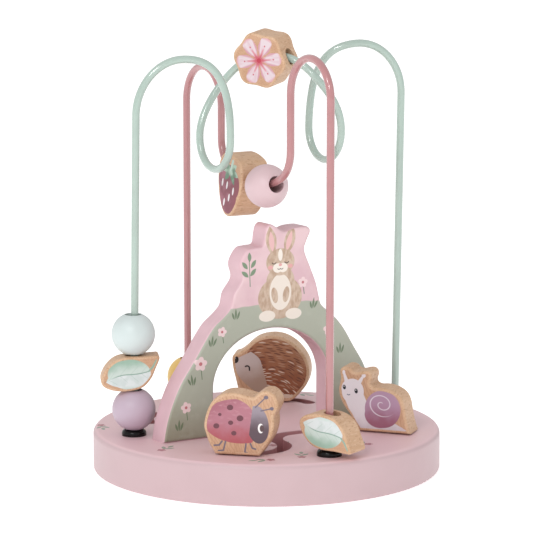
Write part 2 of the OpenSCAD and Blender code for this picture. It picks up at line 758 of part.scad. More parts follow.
// The glide: a stem in the slot, a foot in the channel and a bore for the screw
module glide(place)
  color([0.93, 0.93, 0.91])
    translate([place[0], place[1], 0])
      difference() {
        union() {
          translate([0, 0, glide_foot_z]) cylinder(h = glide_foot_h, d = glide_foot_d);
          translate([0, 0, glide_foot_top])
            cylinder(h = stem_top - glide_foot_top, d = stem_d);
        }
        translate([0, 0, glide_foot_z - eps])
          cylinder(h = stem_top - glide_foot_z + eps * 2, d = screw_d + glide_bore_play);
      }

// The screw that holds a glide to its animal
module glide_screw(place) {
  head_z = glide_foot_z - turn_gap - screw_head_h;
  color([0.72, 0.73, 0.74])
    translate([place[0], place[1], head_z])
      difference() {
        union() {
          cylinder(h = screw_head_h, d = screw_head_d);
          translate([0, 0, screw_head_h])
            cylinder(h = animal_z + screw_reach - head_z - screw_head_h, d = screw_d);
        }
        translate([0, 0, -drive_depth]) cylinder(h = drive_depth * 2, d = drive_w);
      }
}

module ladybird()
  animal(ladybird_xy, ladybird_turn, ladybird_shares, ladybird_w, ladybird_h, ladybird_foot_share,
    ladybird_centre_share);
module snail()
  animal(snail_xy, snail_turn, snail_shares, snail_w, snail_h, snail_foot_share,
    snail_centre_share);
module hedgehog()
  animal(hedgehog_xy, hedgehog_turn, hedgehog_shares, hedgehog_w, hedgehog_h, hedgehog_foot_share,
    hedgehog_centre_share);

module ladybird_glide() glide(ladybird_xy);
module snail_glide() glide(snail_xy);
module hedgehog_glide() glide(hedgehog_xy);
module ladybird_screw() glide_screw(ladybird_xy);
module snail_screw() glide_screw(snail_xy);
module hedgehog_screw() glide_screw(hedgehog_xy);

base_deck();
base_plate();
base_screws();
arch();
arch_screws();
mint_wire();
pink_wire();
collar_mint_left();
collar_mint_right();
collar_pink_front();
collar_pink_back();
lilac_ball();
leaf_bead_left();
mint_ball();
yellow_ball();
leaf_bead_front();
flower_bead();
strawberry_bead();
pink_ball();
ladybird();
ladybird_glide();
ladybird_screw();
snail();
snail_glide();
snail_screw();
hedgehog();
hedgehog_glide();
hedgehog_screw();
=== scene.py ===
"""Looks of a wooden bead maze: painted base, printed arch, coated wires, beads and animals."""

import math

import bmesh
import bpy
from mathutils import Matrix, Vector


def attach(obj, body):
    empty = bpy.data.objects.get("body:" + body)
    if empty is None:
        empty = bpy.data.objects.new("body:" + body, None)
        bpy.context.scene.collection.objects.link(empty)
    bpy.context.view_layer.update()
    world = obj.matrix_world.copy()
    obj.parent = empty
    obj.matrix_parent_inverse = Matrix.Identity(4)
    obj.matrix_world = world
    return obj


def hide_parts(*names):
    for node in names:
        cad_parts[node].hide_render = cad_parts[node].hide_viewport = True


bl_info = {
    "name": "Bead maze looks",
    "version": (1, 0, 0),
    "blender": (4, 5, 0),
    "location": "View3D > Sidebar > Maze",
    "description": "Dresses the bead maze's frame with paint, print, wood and coated wire",
    "category": "Object",
}

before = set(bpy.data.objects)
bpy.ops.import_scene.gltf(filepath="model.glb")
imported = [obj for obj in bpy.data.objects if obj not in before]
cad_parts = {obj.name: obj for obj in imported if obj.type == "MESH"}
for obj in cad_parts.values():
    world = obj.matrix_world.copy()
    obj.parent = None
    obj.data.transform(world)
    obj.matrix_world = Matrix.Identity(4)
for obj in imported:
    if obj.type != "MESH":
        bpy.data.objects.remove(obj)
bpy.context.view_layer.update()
MM = 0.001

# Sizes and places, in millimetres and degrees
BASE_R = 100.0
BASE_H = 23.4
PLATE_H = 11.4
ANIMAL_Z = 24.2
BEAD_Z = 27.2
BALL_D = 24.7
ARCH_W, ARCH_H = 141.8, 118.9
LEAF_W, LEAF_H = 33.0, 20.4
BERRY_W, BERRY_H = 28.0, 36.0
ARCH_X, ARCH_Y = -3.2, -4.2

# Both wires end in the plate. The mint one has a dome, and its bent top sways and slopes
WIRE_FOOT = PLATE_H - 6.0
MINT_REACH = 79.5
MINT_TURN = -12.3
MINT_SHOULDER_Z = 209.0
MINT_SWAY = 2.5
MINT_SLOPE = 3.2
DOME_R = 36.0
DOME_Z = 237.5
DOME_TURN = -43.7

# The pink wire stands across it, with a low arc
PINK_REACH = 83.0
PINK_X = -7.5
PINK_TURN = -1.4
LOW_Z = 164.0
LOW_R = 70.0

# Outlines as shares of width and height: from the right foot over the top to the left one,
# and all around the leaf and the strawberry
LADYBIRD_SHARES = (
    (0.243, 0), (0.33, 0.144), (0.409, 0.302), (0.443, 0.48), (0.437, 0.6),
    (0.46, 0.668), (0.493, 0.757), (0.491, 0.846), (0.443, 0.946), (0.365, 0.997),
    (0.278, 0.987), (0.213, 0.94), (0.165, 0.895), (0.06, 0.918), (-0.07, 0.946),
    (-0.209, 0.938), (-0.322, 0.876), (-0.409, 0.767), (-0.47, 0.609),
    (-0.499, 0.431), (-0.474, 0.302), (-0.43, 0.163), (-0.348, 0))
SNAIL_SHARES = (
    (0.5, 0), (0.456, 0.161), (0.427, 0.328), (0.404, 0.466), (0.361, 0.572),
    (0.285, 0.644), (0.196, 0.685), (0.097, 0.702), (0.007, 0.697),
    (-0.05, 0.724), (-0.063, 0.78), (-0.048, 0.841), (-0.056, 0.91),
    (-0.1, 0.951), (-0.163, 0.948), (-0.235, 0.926), (-0.298, 0.936),
    (-0.338, 0.98), (-0.396, 1), (-0.455, 0.986), (-0.486, 0.928),
    (-0.475, 0.829), (-0.484, 0.748), (-0.5, 0.636), (-0.484, 0.518),
    (-0.423, 0.374), (-0.352, 0.261), (-0.289, 0.137), (-0.208, 0))
HEDGEHOG_SHARES = (
    (0.233, 0), (0.306, 0.05), (0.387, 0.15), (0.46, 0.262), (0.494, 0.378),
    (0.5, 0.495), (0.476, 0.622), (0.414, 0.749), (0.324, 0.865), (0.206, 0.956),
    (0.08, 0.998), (-0.047, 0.995), (-0.165, 0.956), (-0.255, 0.887),
    (-0.337, 0.797), (-0.409, 0.735), (-0.468, 0.709), (-0.497, 0.664),
    (-0.498, 0.579), (-0.483, 0.463), (-0.454, 0.325), (-0.423, 0.177),
    (-0.391, 0.071), (-0.337, 0))
ARCH_SHARES = (
    (0.5, 0), (0.485, 0.14), (0.446, 0.266), (0.394, 0.367), (0.348, 0.456),
    (0.304, 0.518), (0.265, 0.557), (0.236, 0.59), (0.226, 0.63), (0.21, 0.702),
    (0.181, 0.786), (0.156, 0.86), (0.166, 0.905), (0.183, 0.95), (0.166, 0.976),
    (0.107, 0.976), (0.06, 0.962), (0.027, 0.982), (-0.003, 1), (-0.024, 0.986),
    (-0.033, 0.949), (-0.042, 0.9), (-0.08, 0.894), (-0.117, 0.883),
    (-0.15, 0.818), (-0.14, 0.745), (-0.178, 0.678), (-0.192, 0.616),
    (-0.225, 0.575), (-0.279, 0.52), (-0.359, 0.382), (-0.431, 0.256),
    (-0.481, 0.112), (-0.5, 0))
LEAF_SHARES = (
    (0.48, -0.49), (0.5, -0.4), (0.43, -0.12), (0.35, 0.16), (0.2, 0.4),
    (-0.03, 0.492), (-0.27, 0.475), (-0.45, 0.36), (-0.5, 0.16), (-0.42, -0.14),
    (-0.26, -0.38), (-0.05, -0.47), (0.2, -0.475), (0.4, -0.493))
BERRY_SHARES = (
    (0.49, 0.06), (0.485, 0.28), (0.36, 0.45), (0.13, 0.498), (-0.13, 0.498),
    (-0.36, 0.45), (-0.485, 0.28), (-0.49, 0.06), (-0.41, -0.18), (-0.27, -0.38),
    (-0.1, -0.493), (0.1, -0.493), (0.27, -0.38), (0.41, -0.18))


# Curves

OUTLINE_STEPS = 6


def hermite(p, a, q, b, t):
    """The point at t on a curve that leaves p along a and reaches q along b."""
    return (p * (1 - 3 * t ** 2 + 2 * t ** 3) + q * (3 * t ** 2 - 2 * t ** 3)
            + a * (t - 2 * t ** 2 + t ** 3) + b * (t ** 3 - t ** 2))


def smooth_outline(shares, width, height, closed):
    """A curve through the shares of width and height."""
    pts = [Vector((x * width, z * height)) for x, z in shares]
    n = len(pts)
    at = (lambda i: pts[i % n]) if closed else (lambda i: pts[min(max(i, 0), n - 1)])
    out = []
    for i in range(n if closed else n - 1):
        p, q, r, s = at(i - 1), at(i), at(i + 1), at(i + 2)
        out += [hermite(q, (r - p) / 2, r, (s - q) / 2, k / OUTLINE_STEPS)
                for k in range(OUTLINE_STEPS)]
    return out if closed else out + [pts[-1]]


def inset(pts, d):
    """An outline moved inwards by d, for points that run anticlockwise."""
    out = []
    for i, p in enumerate(pts):
        a = (p - pts[i - 1]).normalized()
        b = (pts[(i + 1) % len(pts)] - p).normalized()
        out.append(p + (Vector((-a.y, a.x)) + Vector((-b.y, b.x))) * d / (1 + a.dot(b)))
    return out


# Meshes

SHARP_EDGE = math.radians(38)
ROUND_STEPS = 4
BORE_SIDES = 64
DRILL_L = 80.0
WIRE_SIDES = 20


def mesh_of(bm, name):
    """The mesh of a bmesh, which is freed."""
    mesh = bpy.data.meshes.new(name)
    bm.to_mesh(mesh)
    bm.free()
    return mesh


def plaque_mesh(name, outline, thick, edge, border=0.2, wrap=0):
    """A board with its outline in XZ and rounded edges.

    Slot 1 takes the two faces inside the border, and wrap steps of the rounding around them.
    """
    bm = bmesh.new()
    turns = [math.pi / 2 * k / ROUND_STEPS for k in range(ROUND_STEPS + 1)]
    half = [(thick / 2 - edge * (1 - math.cos(a)), edge * (1 - math.sin(a))) for a in turns]
    levels = [(-y, d) for y, d in half] + [(y, d) for y, d in reversed(half)]

    def loop(points, y):
        return [bm.verts.new((p.x * MM, y * MM, p.y * MM)) for p in points]

    def wall(low, high, slot):
        for i in range(len(low)):
            j = (i + 1) % len(low)
            bm.faces.new((low[i], low[j], high[j], high[i])).material_index = slot

    loops = [loop(inset(outline, d), y) for y, d in levels]
    for k, (low, high) in enumerate(zip(loops, loops[1:])):
        wall(high, low, 1 if min(k, len(loops) - 2 - k) < wrap else 0)
    for rim, y in ((loops[0], levels[0][0]), (loops[-1], levels[-1][0])):
        inner = loop(inset(outline, edge + border), y)
        wall(inner, rim, 1 if wrap else 0)
        edges = [bm.edges.get(pair) for pair in zip(inner, inner[1:] + inner[:1])]
        for made in bmesh.ops.triangle_fill(bm, edges=edges, use_beauty=True)["geom"]:
            if isinstance(made, bmesh.types.BMFace):
                made.material_index = 1
    bmesh.ops.recalc_face_normals(bm, faces=bm.faces)
    return mesh_of(bm, name)


def bored(mesh, axis, diameter):
    """The mesh with a round bore along the Z of axis."""
    body = bpy.data.objects.new("bored", mesh)
    bm = bmesh.new()
    bmesh.ops.create_cone(bm, cap_ends=True, segments=BORE_SIDES, radius1=diameter / 2 * MM,
                          radius2=diameter / 2 * MM, depth=DRILL_L * MM, matrix=axis)
    drill_mesh = mesh_of(bm, "drill")
    drill = bpy.data.objects.new("drill", drill_mesh)
    for obj in (body, drill):
        bpy.context.scene.collection.objects.link(obj)
    cut = body.modifiers.new("bore", "BOOLEAN")
    cut.object = drill
    cut.solver = "EXACT"
    graph = bpy.context.evaluated_depsgraph_get()
    done = bpy.data.meshes.new_from_object(body.evaluated_get(graph), depsgraph=graph)
    done.name = mesh.name
    for obj in (body, drill):
        bpy.data.objects.remove(obj)
    bpy.data.meshes.remove(drill_mesh)
    return done


def wire_mesh(name, path, diameter):
    """A round wire along a path of points in millimetres."""
    bm = bmesh.new()
    rings = []
    across = Vector((1, 0, 0))
    for i, p in enumerate(path):
        along = (path[min(i + 1, len(path) - 1)] - path[max(i - 1, 0)]).normalized()
        across = (across - along * across.dot(along)).normalized()
        up = along.cross(across)
        ring = []
        for k in range(WIRE_SIDES):
            a = 2 * math.pi * k / WIRE_SIDES
            off = (across * math.cos(a) + up * math.sin(a)) * diameter / 2
            ring.append(bm.verts.new((p + off) * MM))
        rings.append(ring)
    for low, high in zip(rings, rings[1:]):
        for k in range(WIRE_SIDES):
            j = (k + 1) % WIRE_SIDES
            bm.faces.new((low[k], low[j], high[j], high[k]))
    bm.faces.new(list(reversed(rings[0])))
    bm.faces.new(rings[-1])
    return mesh_of(bm, name)


def turned(axis, degrees):
    return Matrix.Rotation(math.radians(degrees), 4, axis)


def moved(x, y, z):
    return Matrix.Translation(Vector((x, y, z)) * MM)


# Materials

COAT_ROUGH = 0.07
# How softly a print's edges end, in millimetres, and the ends of its curves, in degrees
PRINT_SOFT = 0.12
CURVE_SOFT = 6


def ink(red, green, blue):
    """A colour given as a screen shows it, from 0 to 255, for a shader's socket."""
    def linear(c):
        c /= 255
        return c / 12.92 if c <= 0.04045 else ((c + 0.055) / 1.055) ** 2.4
    return (linear(red), linear(green), linear(blue), 1.0)


def prop_ink(colour):
    return ink(*(255 * c for c in colour))


class Val:
    """A value that changes over a surface: a socket that takes Python's operators."""

    def __init__(self, tree, socket):
        self.tree = tree
        self.socket = socket

    def __add__(self, other):
        return self.tree.math("ADD", self, other)

    __radd__ = __add__

    def __sub__(self, other):
        return self.tree.math("SUBTRACT", self, other)

    def __rsub__(self, other):
        return self.tree.math("SUBTRACT", other, self)

    def __mul__(self, other):
        return self.tree.math("MULTIPLY", self, other)

    __rmul__ = __mul__

    def __truediv__(self, other):
        return self.tree.math("DIVIDE", self, other)

    def __rtruediv__(self, other):
        return self.tree.math("DIVIDE", other, self)

    def __or__(self, other):
        return self.tree.math("MAXIMUM", self, other)

    __ror__ = __or__

    def __and__(self, other):
        return self.tree.math("MINIMUM", self, other)

    __rand__ = __and__

    def __abs__(self):
        return self.tree.math("ABSOLUTE", self)


class Tree:
    """The nodes of a material or a world, which are added by plain calls."""

    def __init__(self, owner):
        owner.use_nodes = True
        self.nodes = owner.node_tree.nodes
        self.links = owner.node_tree.links

    def feed(self, node, inputs):
        """Gives a node's sockets their values or links."""
        for key, value in inputs.items():
            if isinstance(value, Val):
                self.links.new(value.socket, node.inputs[key])
            else:
                node.inputs[key].default_value = value

    def add(self, kind, settings=None, inputs=None, out=0):
        """The output of a new node of that kind, with its settings and its sockets fed."""
        node = self.nodes.new(kind)
        for key, value in (settings or {}).items():
            setattr(node, key, value)
        self.feed(node, inputs or {})
        return Val(self, node.outputs[out])

    def math(self, operation, *values, clamp=False):
        return self.add("ShaderNodeMath", {"operation": operation, "use_clamp": clamp},
                        dict(enumerate(values)))


class Paint(Tree):
    """One material, with places on it in millimetres."""

    def __init__(self, name, roughness=0.5, coat=0.0, metallic=0.0):
        self.mat = bpy.data.materials.new(name)
        super().__init__(self.mat)
        self.shader = self.nodes["Principled BSDF"]
        self.feed(self.shader, {"Roughness": roughness, "Coat Weight": coat,
                                "Coat Roughness": COAT_ROUGH, "Metallic": metallic})
        self.look = None
        place = self.add("ShaderNodeTexCoord", out="Object")
        self.at = self.add("ShaderNodeVectorMath", {"operation": "SCALE"},
                           {0: place, "Scale": 1 / MM})
        self.x, self.y, self.z = (self.add("ShaderNodeSeparateXYZ", {}, {0: self.at}, out=axis)
                                  for axis in "XYZ")

    def mix(self, under, over, share):
        """A colour laid over another by a share."""
        return self.add("ShaderNodeMix", {"data_type": "RGBA"}, {0: share, 6: under, 7: over},
                        out=2)

    def noise(self, scale, detail=2.0, stretch=(1, 1, 1)):
        """Noise from 0 to 1, with scale in features for each millimetre."""
        along = self.add("ShaderNodeVectorMath", {"operation": "MULTIPLY"},
                         {0: self.at, 1: stretch})
        return self.add("ShaderNodeTexNoise", {},
                        {"Vector": along, "Scale": scale, "Detail": detail})

    def ramp(self, value, low, high):
        """The value's way from low to high as 0 to 1, eased."""
        return self.add("ShaderNodeMapRange", {"interpolation_type": "SMOOTHSTEP"},
                        {0: value, 1: low, 2: high, 3: 0.0, 4: 1.0})

    def colour(self, value):
        self.look = value
        self.feed(self.shader, {"Base Color": value})
        return self

    def lay(self, colour, mask):
        """Lays a colour over what is there."""
        return self.colour(self.mix(self.look, colour, mask))

    def cloudy(self, colour, scale, dim):
        """A colour with faint clouds, dim times as bright in red, green and blue."""
        cloud = tuple(c * d for c, d in zip(colour, (*dim, 1)))
        return self.colour(self.mix(cloud, colour, self.ramp(self.noise(scale), 0.3, 0.6)))

    def rough(self, value):
        self.feed(self.shader, {"Roughness": value})
        return self

    def bump(self, height, strength, distance):
        """Relief from a height, with distance in millimetres."""
        relief = {"Strength": strength, "Distance": distance * MM, "Height": height}
        self.feed(self.shader, {"Normal": self.add("ShaderNodeBump", {}, relief, out="Normal")})
        return self

    def satin(self, low, spread, grain):
        """The sheen and faint relief of brushed paint, with roughness from low up by spread."""
        self.rough(self.noise(0.8) * spread + low)
        return self.bump(self.noise(1.6, 3), grain, 0.08)

    def reach(self, u, v):
        """The distance from the middle to the place at u and v."""
        return self.math("SQRT", u * u + v * v)

    # Printed shapes on the plane of X and Z, each a mask from 0 to 1

    def local(self, cx, cz, turn):
        """Places along and across a shape's own axes."""
        dx, dz = self.x - cx, self.z - cz
        if not turn:
            return dx, dz
        c, s = math.cos(math.radians(turn)), math.sin(math.radians(turn))
        return dx * c + dz * s, dz * c - dx * s

    def crisp(self, inside, size):
        """A mask from a measure that is 1 in the middle and 0 at the edge of a shape."""
        return self.math("MULTIPLY_ADD", inside, size / (2 * PRINT_SOFT), 0.5, clamp=True)

    def oval(self, cx, cz, rx, rz, turn=0):
        u, v = self.local(cx, cz, turn)
        u, v = u / rx, v / rz
        return self.crisp(1 - (u * u + v * v), min(rx, rz))

    def leaf(self, cx, cz, length, width, turn=0):
        """A leaf with two points, which lies along its turn."""
        u, v = self.local(cx, cz, turn)
        u = u * (2 / length)
        return self.crisp(1 - u * u - abs(v) * (2 / width), width / 2)

    def stroke(self, x0, z0, x1, z1, width, tail=None):
        """A line with round ends, as wide as tail at its far end."""
        length = math.hypot(x1 - x0, z1 - z0)
        u, v = self.local(x0, z0, math.degrees(math.atan2(z1 - z0, x1 - x0)))
        t = self.math("DIVIDE", u, length, clamp=True)
        off = u - t * length
        r = width / 2 if tail is None else t * (tail - width) / 2 + width / 2
        far = self.reach(off, v)
        return self.crisp(1 - far / r, max(width, tail or 0) / 2)

    def curve(self, cx, cz, radius, width, turn, half):
        """A piece of a circle of that radius, half degrees to both sides of its turn."""
        u, v = self.local(cx, cz, turn)
        far = self.reach(u, v)
        line = self.crisp(1 - abs(far - radius) * (2 / width), width / 2)
        angle = abs(self.math("ARCTAN2", v, u))
        return line * self.ramp(angle, math.radians(half + CURVE_SOFT),
                                math.radians(half - CURVE_SOFT))

    def slices(self, cx, cz, count, turn=0):
        """Places along and beside the nearest of count rays from a centre, and the distance."""
        u, v = self.local(cx, cz, turn)
        far = self.reach(u, v)
        half = math.pi / count
        a = self.math("WRAP", self.math("ARCTAN2", v, u), half, -half)
        return far * self.math("COSINE", a), far * self.math("SINE", a), far

    def petals(self, cx, cz, count, near, far, width, turn=0):
        """Oval petals around a centre, from near to far."""
        along, beside, _ = self.slices(cx, cz, count, turn)
        along, beside = (along - (near + far) / 2) * (2 / (far - near)), beside * (2 / width)
        return self.crisp(1 - (along * along + beside * beside), width / 2)


def any_of(masks):
    """The mask of several shapes together."""
    masks = list(masks)
    whole = masks[0]
    for mask in masks[1:]:
        whole = whole | mask
    return whole


# How noise is drawn out along the fibre of the wood: through a piece, or up its face
ACROSS = (1, 0.22, 1)
UPRIGHT = (1, 1, 0.14)


def beech(name, props, fibre, relief, depth):
    """Bare beech: pale broad bands, fine lines and short dark flecks along the fibre."""
    p = Paint(name)
    bands = p.ramp(p.noise(0.16, 3, fibre), 0.3, 0.6)
    p.colour(p.mix(prop_ink(props.beech_dark), prop_ink(props.beech), bands))
    fine = p.noise(1.2, 2, fibre)
    p.lay(prop_ink(props.beech_light), p.ramp(fine, 0.46, 0.74) * 0.45)
    flecks = p.ramp(p.noise(1.0, 1, tuple(1.3 * f ** 0.9 for f in fibre)), 0.6, 0.68)
    return p.lay(prop_ink(props.beech_fleck), flecks * 0.6).bump(fine, relief, depth)


def bare_wood(name, props):
    """The wood of a figure's sides."""
    return beech(name, props, ACROSS, 0.15, 0.06)


def face_wood(name, props, fibre):
    """The wood of a figure's face, warmer than the sides and darker as painted shade.

    Its pores show as specks, or its rings as wavy lines where the fibre runs up the face.
    """
    # The faces' warmer tone is also darker than the sides: partly a real tone, partly painted shade
    p = beech(name, props, fibre, 0.12, 0.05).lay(prop_ink(props.beech_face_tone_and_shade), 0.5)
    if fibre == ACROSS:
        marks = p.ramp(p.noise(1.7), 0.46, 0.66) * 0.38
    else:
        rings = p.math("SINE", (p.x + p.z * 0.45 + p.noise(0.09) * 7.0) * 3.3)
        marks = p.ramp(rings, 0.3, 1.0) * 0.42
    return p.lay(prop_ink(props.beech_fleck), marks)


def painted(name, colour, roughness=0.42, grain=0.05, coat=0.0):
    """Satin paint on wood, with a faint unevenness."""
    p = Paint(name, roughness, coat).cloudy(colour, 0.06, (0.94, 0.93, 0.93))
    return p.satin(roughness - 0.06, 0.12, grain)


def dress(obj, *paints):
    """Gives an object its materials in order."""
    slots = obj.data.materials
    for i, paint in enumerate(paints):
        if i < len(slots):
            slots[i] = paint.mat
        else:
            slots.append(paint.mat)


def dress_nodes(names, paint):
    """Gives several parts of the frame one material."""
    for name in names:
        dress(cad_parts[name], paint)


def stand_for(node, made, mesh, place, body, slot, *paints):
    """A new piece in a part's place, dressed and smooth except at sharp edges."""
    mesh.shade_smooth()
    mesh.set_sharp_from_angle(angle=SHARP_EDGE)
    obj = bpy.data.objects.new(node + made, mesh)
    bpy.context.scene.collection.objects.link(obj)
    obj.matrix_world = place
    even = obj.modifiers.new("even shading", "WEIGHTED_NORMAL")
    even.keep_sharp = True
    dress(obj, *paints)
    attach(obj, body)
    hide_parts(node)


# Prints

def ladybird_print(props):
    """A round red back with spots, a grey head, feelers and legs."""
    p = face_wood("ladybird print", props, UPRIGHT)
    body = p.oval(-5.2, 16.6, 14.5, 15.0) & p.oval(-1, 19, 20.5, 12.4)
    cloud = p.noise(0.18, 3)
    red = p.mix(ink(170, 82, 90), ink(174, 114, 127), p.ramp(p.z + cloud * 12, 13, 25))
    red = p.mix(red, ink(162, 100, 113), p.ramp(p.x * -0.5 + p.z, 26, 34))
    brush = p.noise(0.5, 3, (0.5, 1, 1))
    red = p.mix(red, ink(200, 152, 160), p.ramp(brush, 0.5, 0.75) * p.ramp(p.z, 14, 22) * 0.5)
    p.lay(red, body)
    spots = any_of(p.oval(x, z, r, r * 0.86, 10) for x, z, r in (
        (-6, 26.5, 1.8), (-11.8, 22.3, 1.0), (-0.4, 20.7, 1.9), (-5.7, 18, 1.45),
        (-13.8, 15.8, 1.7), (-3.9, 12.2, 1.5)))
    p.lay(ink(106, 60, 70), spots)
    head = p.oval(9.4, 17.6, 6.3, 10.6, 8) & p.ramp(p.x - p.z * 0.13, 2.9, 3.3)
    shade = p.mix(ink(92, 74, 82), ink(150, 138, 148), p.ramp(p.z + cloud * 6, 17, 29))
    p.lay(shade, head)
    feelers = any_of((p.stroke(8.2, 27.2, 13.6, 32.6, 0.7), p.stroke(11.4, 25.4, 16.8, 26.8, 0.7),
                      p.oval(14.2, 33, 1.25, 1.05), p.oval(17.4, 26.9, 1.15, 1.0)))
    legs = any_of(p.stroke(*s, 0.95) for s in (
        (-10.6, 7.4, -12.2, 5.2), (-12.2, 5.2, -15, 4.9), (-8.6, 7.4, -9.8, 2.4),
        (-9.8, 2.4, -12.6, 1.9), (2.9, 6.6, 2.3, 1.9), (2.3, 1.9, 3.7, 1.5),
        (5.4, 6.8, 6.5, 4.3), (6.5, 4.3, 8.3, 3.9)))
    p.lay(ink(112, 101, 114), feelers | legs)
    p.lay(ink(240, 236, 234), p.oval(11.2, 15.6, 1.6, 2.7))
    p.lay(ink(88, 66, 70), p.oval(11.9, 15.6, 1.25, 1.9))
    return p


def snail_print(props):
    """A pale neck and foot under a plum shell with a coil."""
    p = face_wood("snail print", props, UPRIGHT)
    cloud = p.noise(0.2, 3)
    pale = p.mix(ink(196, 184, 190), ink(224, 216, 220), p.ramp(p.z + cloud * 10, 4, 18))
    neck = any_of((p.stroke(-14, 24, -6, 6, 11.4, 12), p.oval(-12.9, 22.6, 6.6, 7.4),
                   p.stroke(-6, 2.6, 16, 2.2, 5.0, 3.2), p.stroke(8, 4.4, 19.4, 1.5, 6.4, 0.9),
                   p.oval(2, 5, 9, 4.4),
                   p.stroke(-16.4, 27.5, -18.4, 33.4, 2.6, 1.2), p.oval(-18.7, 33.6, 1.2, 1.2),
                   p.stroke(-9.4, 27.5, -6.8, 31.8, 2.6, 1.2), p.oval(-6.4, 32.2, 1.2, 1.2)))
    p.lay(pale, neck & p.ramp(p.z, 0.4, 1.2))
    shell = p.oval(5, 13.4, 10.6, 10.8) | p.oval(3.2, 10, 8.9, 7.6)
    plum = p.mix(ink(150, 92, 112), ink(176, 142, 166), p.ramp(p.z + cloud * 8, 8, 22))
    p.lay(plum, shell)
    u, v = p.local(4.6, 16.2, -14)
    u = u * 0.84
    far = p.reach(u, v)
    coil = p.math("WRAP", far / 4.0 - p.math("ARCTAN2", v, u) / (2 * math.pi) + 0.05, 0.5, -0.5)
    line = p.ramp(abs(coil), 0.1, 0.05) * p.ramp(far, 0.6, 0.9) * p.ramp(far, 7.4, 6.8)
    p.lay(ink(222, 212, 222), line * shell * 0.85)
    eyes = any_of((p.oval(-18, 24.8, 0.95, 1.35, 10), p.oval(-10.9, 23, 1.0, 1.45, 10)))
    p.lay(ink(28, 28, 38), eyes)
    glints = any_of((p.oval(-18.2, 25.3, 0.28, 0.3), p.oval(-11.1, 23.5, 0.3, 0.32)))
    p.lay(ink(240, 240, 240), glints)
    p.lay(ink(110, 112, 130), p.curve(-15.4, 21.4, 1.0, 0.5, -90, 60))
    return p


def hedgehog_print(props):
    """A face, and a coat of short brush strokes in rows around a point below it."""
    p = face_wood("hedgehog print", props, UPRIGHT)
    cloud = p.noise(0.16, 3)
    u, v = p.local(-3, -15, 0)
    far = p.reach(u, v) + p.noise(0.12, 1) * 3.0
    rows = far / 1.15
    row = p.math("FLOOR", rows)
    across = rows - row - 0.5
    start = p.add("ShaderNodeTexWhiteNoise", {"noise_dimensions": "1D"}, {"W": row})
    cells = p.math("ARCTAN2", u, v) * far / 6.2 + start * 9.0
    cell = p.math("FLOOR", cells)
    along = (cells - cell - 0.5) * 2.4
    pick = p.add("ShaderNodeCombineXYZ", {}, {0: row, 1: cell, 2: 0.0})
    chance = p.add("ShaderNodeTexWhiteNoise", {"noise_dimensions": "2D"}, {"Vector": pick})
    hair = p.ramp(0.32 - along * along * 0.32 - abs(across), -0.05, 0.09)
    coat = p.oval(3.2, 20.4, 19.6, 19.1) & p.ramp(p.z, 2.4, 3.0)
    brown = p.mix(ink(140, 80, 50), ink(170, 118, 86),
                  p.ramp(p.z * 0.7 + p.x * 0.3 + cloud * 16, 16, 36))
    p.lay(brown, coat)
    p.lay(ink(102, 60, 46), hair * p.ramp(chance, 0.46, 0.45) * coat * 0.85)
    p.lay(ink(186, 150, 126), hair * p.ramp(chance, 0.62, 0.63) * coat * 0.55)
    p.lay(ink(218, 198, 182), hair * p.ramp(chance, 0.85, 0.86) * coat * 0.9)
    p.lay(ink(206, 182, 164), p.oval(9.6, 3.5, 3.6, 1.2))
    over = (p.z - 24) | 0.0
    under = (22.3 - p.z) | 0.0
    cheek = p.ramp(p.x + 2.2 + (p.z - 10.4) * 0.27 + over * over * 0.12, 0.15, -0.15)
    brow = p.ramp(p.z - p.x * 0.5 - 36.1, 0.15, -0.15)
    chin = p.ramp(p.x + 21.8 - under * under * 0.047, -0.15, 0.15) & p.ramp(p.z, 2.6, 3.0)
    face = (p.oval(-19.4, 24, 3.0, 3.4, 20) | cheek) & brow & chin
    grey = p.mix(ink(170, 142, 126), ink(196, 180, 176),
                 p.ramp(p.z * 0.9 - p.x * 0.3 + cloud * 8, 16, 30))
    p.lay(grey, face)
    p.lay(ink(30, 26, 28), p.oval(-21.0, 25.0, 1.6, 2.1, -14))
    p.lay(ink(150, 140, 138), p.oval(-21.5, 26.0, 0.4, 0.4))
    eye = any_of((p.curve(-14.2, 20.0, 1.4, 0.95, 75, 75), p.stroke(-12.9, 20.2, -12.8, 18.8, 0.9)))
    p.lay(ink(34, 28, 32), eye)
    return p


def leaf_print(props, up):
    """A leaf and its stem. up says that the bead is turned over."""
    p = face_wood("leaf print " + ("up" if up else "down"), props, ACROSS)
    if up:
        p.z = 0 - p.z
    cloud = p.noise(0.2, 3)
    blade = p.oval(-0.6, 0.2, 12.2, 8.6) | p.leaf(-6.5, 2.5, 15, 9.4, -16)
    bend = p.x + 1.0
    rib = p.z - 0.35 + bend * abs(bend) * 0.013 + (bend & 0.0) * abs(bend) * 0.013
    pale = p.mix(ink(198, 208, 206), ink(212, 218, 218), p.ramp(cloud, 0.35, 0.6))
    pale = p.mix(pale, ink(184, 204, 195), p.ramp(rib + cloud * 3, 7.6, 10.0) * 0.7)
    low = p.mix(ink(150, 178, 161), ink(194, 207, 200), p.ramp(rib + cloud * 5, -4.8, 1.2))
    green = p.mix(low, pale, p.ramp(rib, -0.15, 0.15))
    veins = p.math("WRAP", p.x * 0.4 - abs(rib) * 0.4, 1.2, -1.2)
    veins = p.ramp(abs(veins), 0.1, 0.03) * p.ramp(abs(rib), 5.4, 4.0)
    green = p.mix(green, ink(140, 168, 154), veins * 0.4)
    p.lay(green, blade)
    spine = p.ramp(abs(rib), 0.4, 0.16) * p.ramp(p.x, -12.5, -6)
    p.lay(ink(112, 148, 131), spine * blade * 0.85)
    stem = any_of((p.stroke(10.6, -1.7, 12.8, -4.0, 0.8, 1.1),
                   p.stroke(12.8, -4.0, 14.8, -7.6, 1.1, 1.2)))
    p.lay(ink(140, 170, 154), stem)
    return p


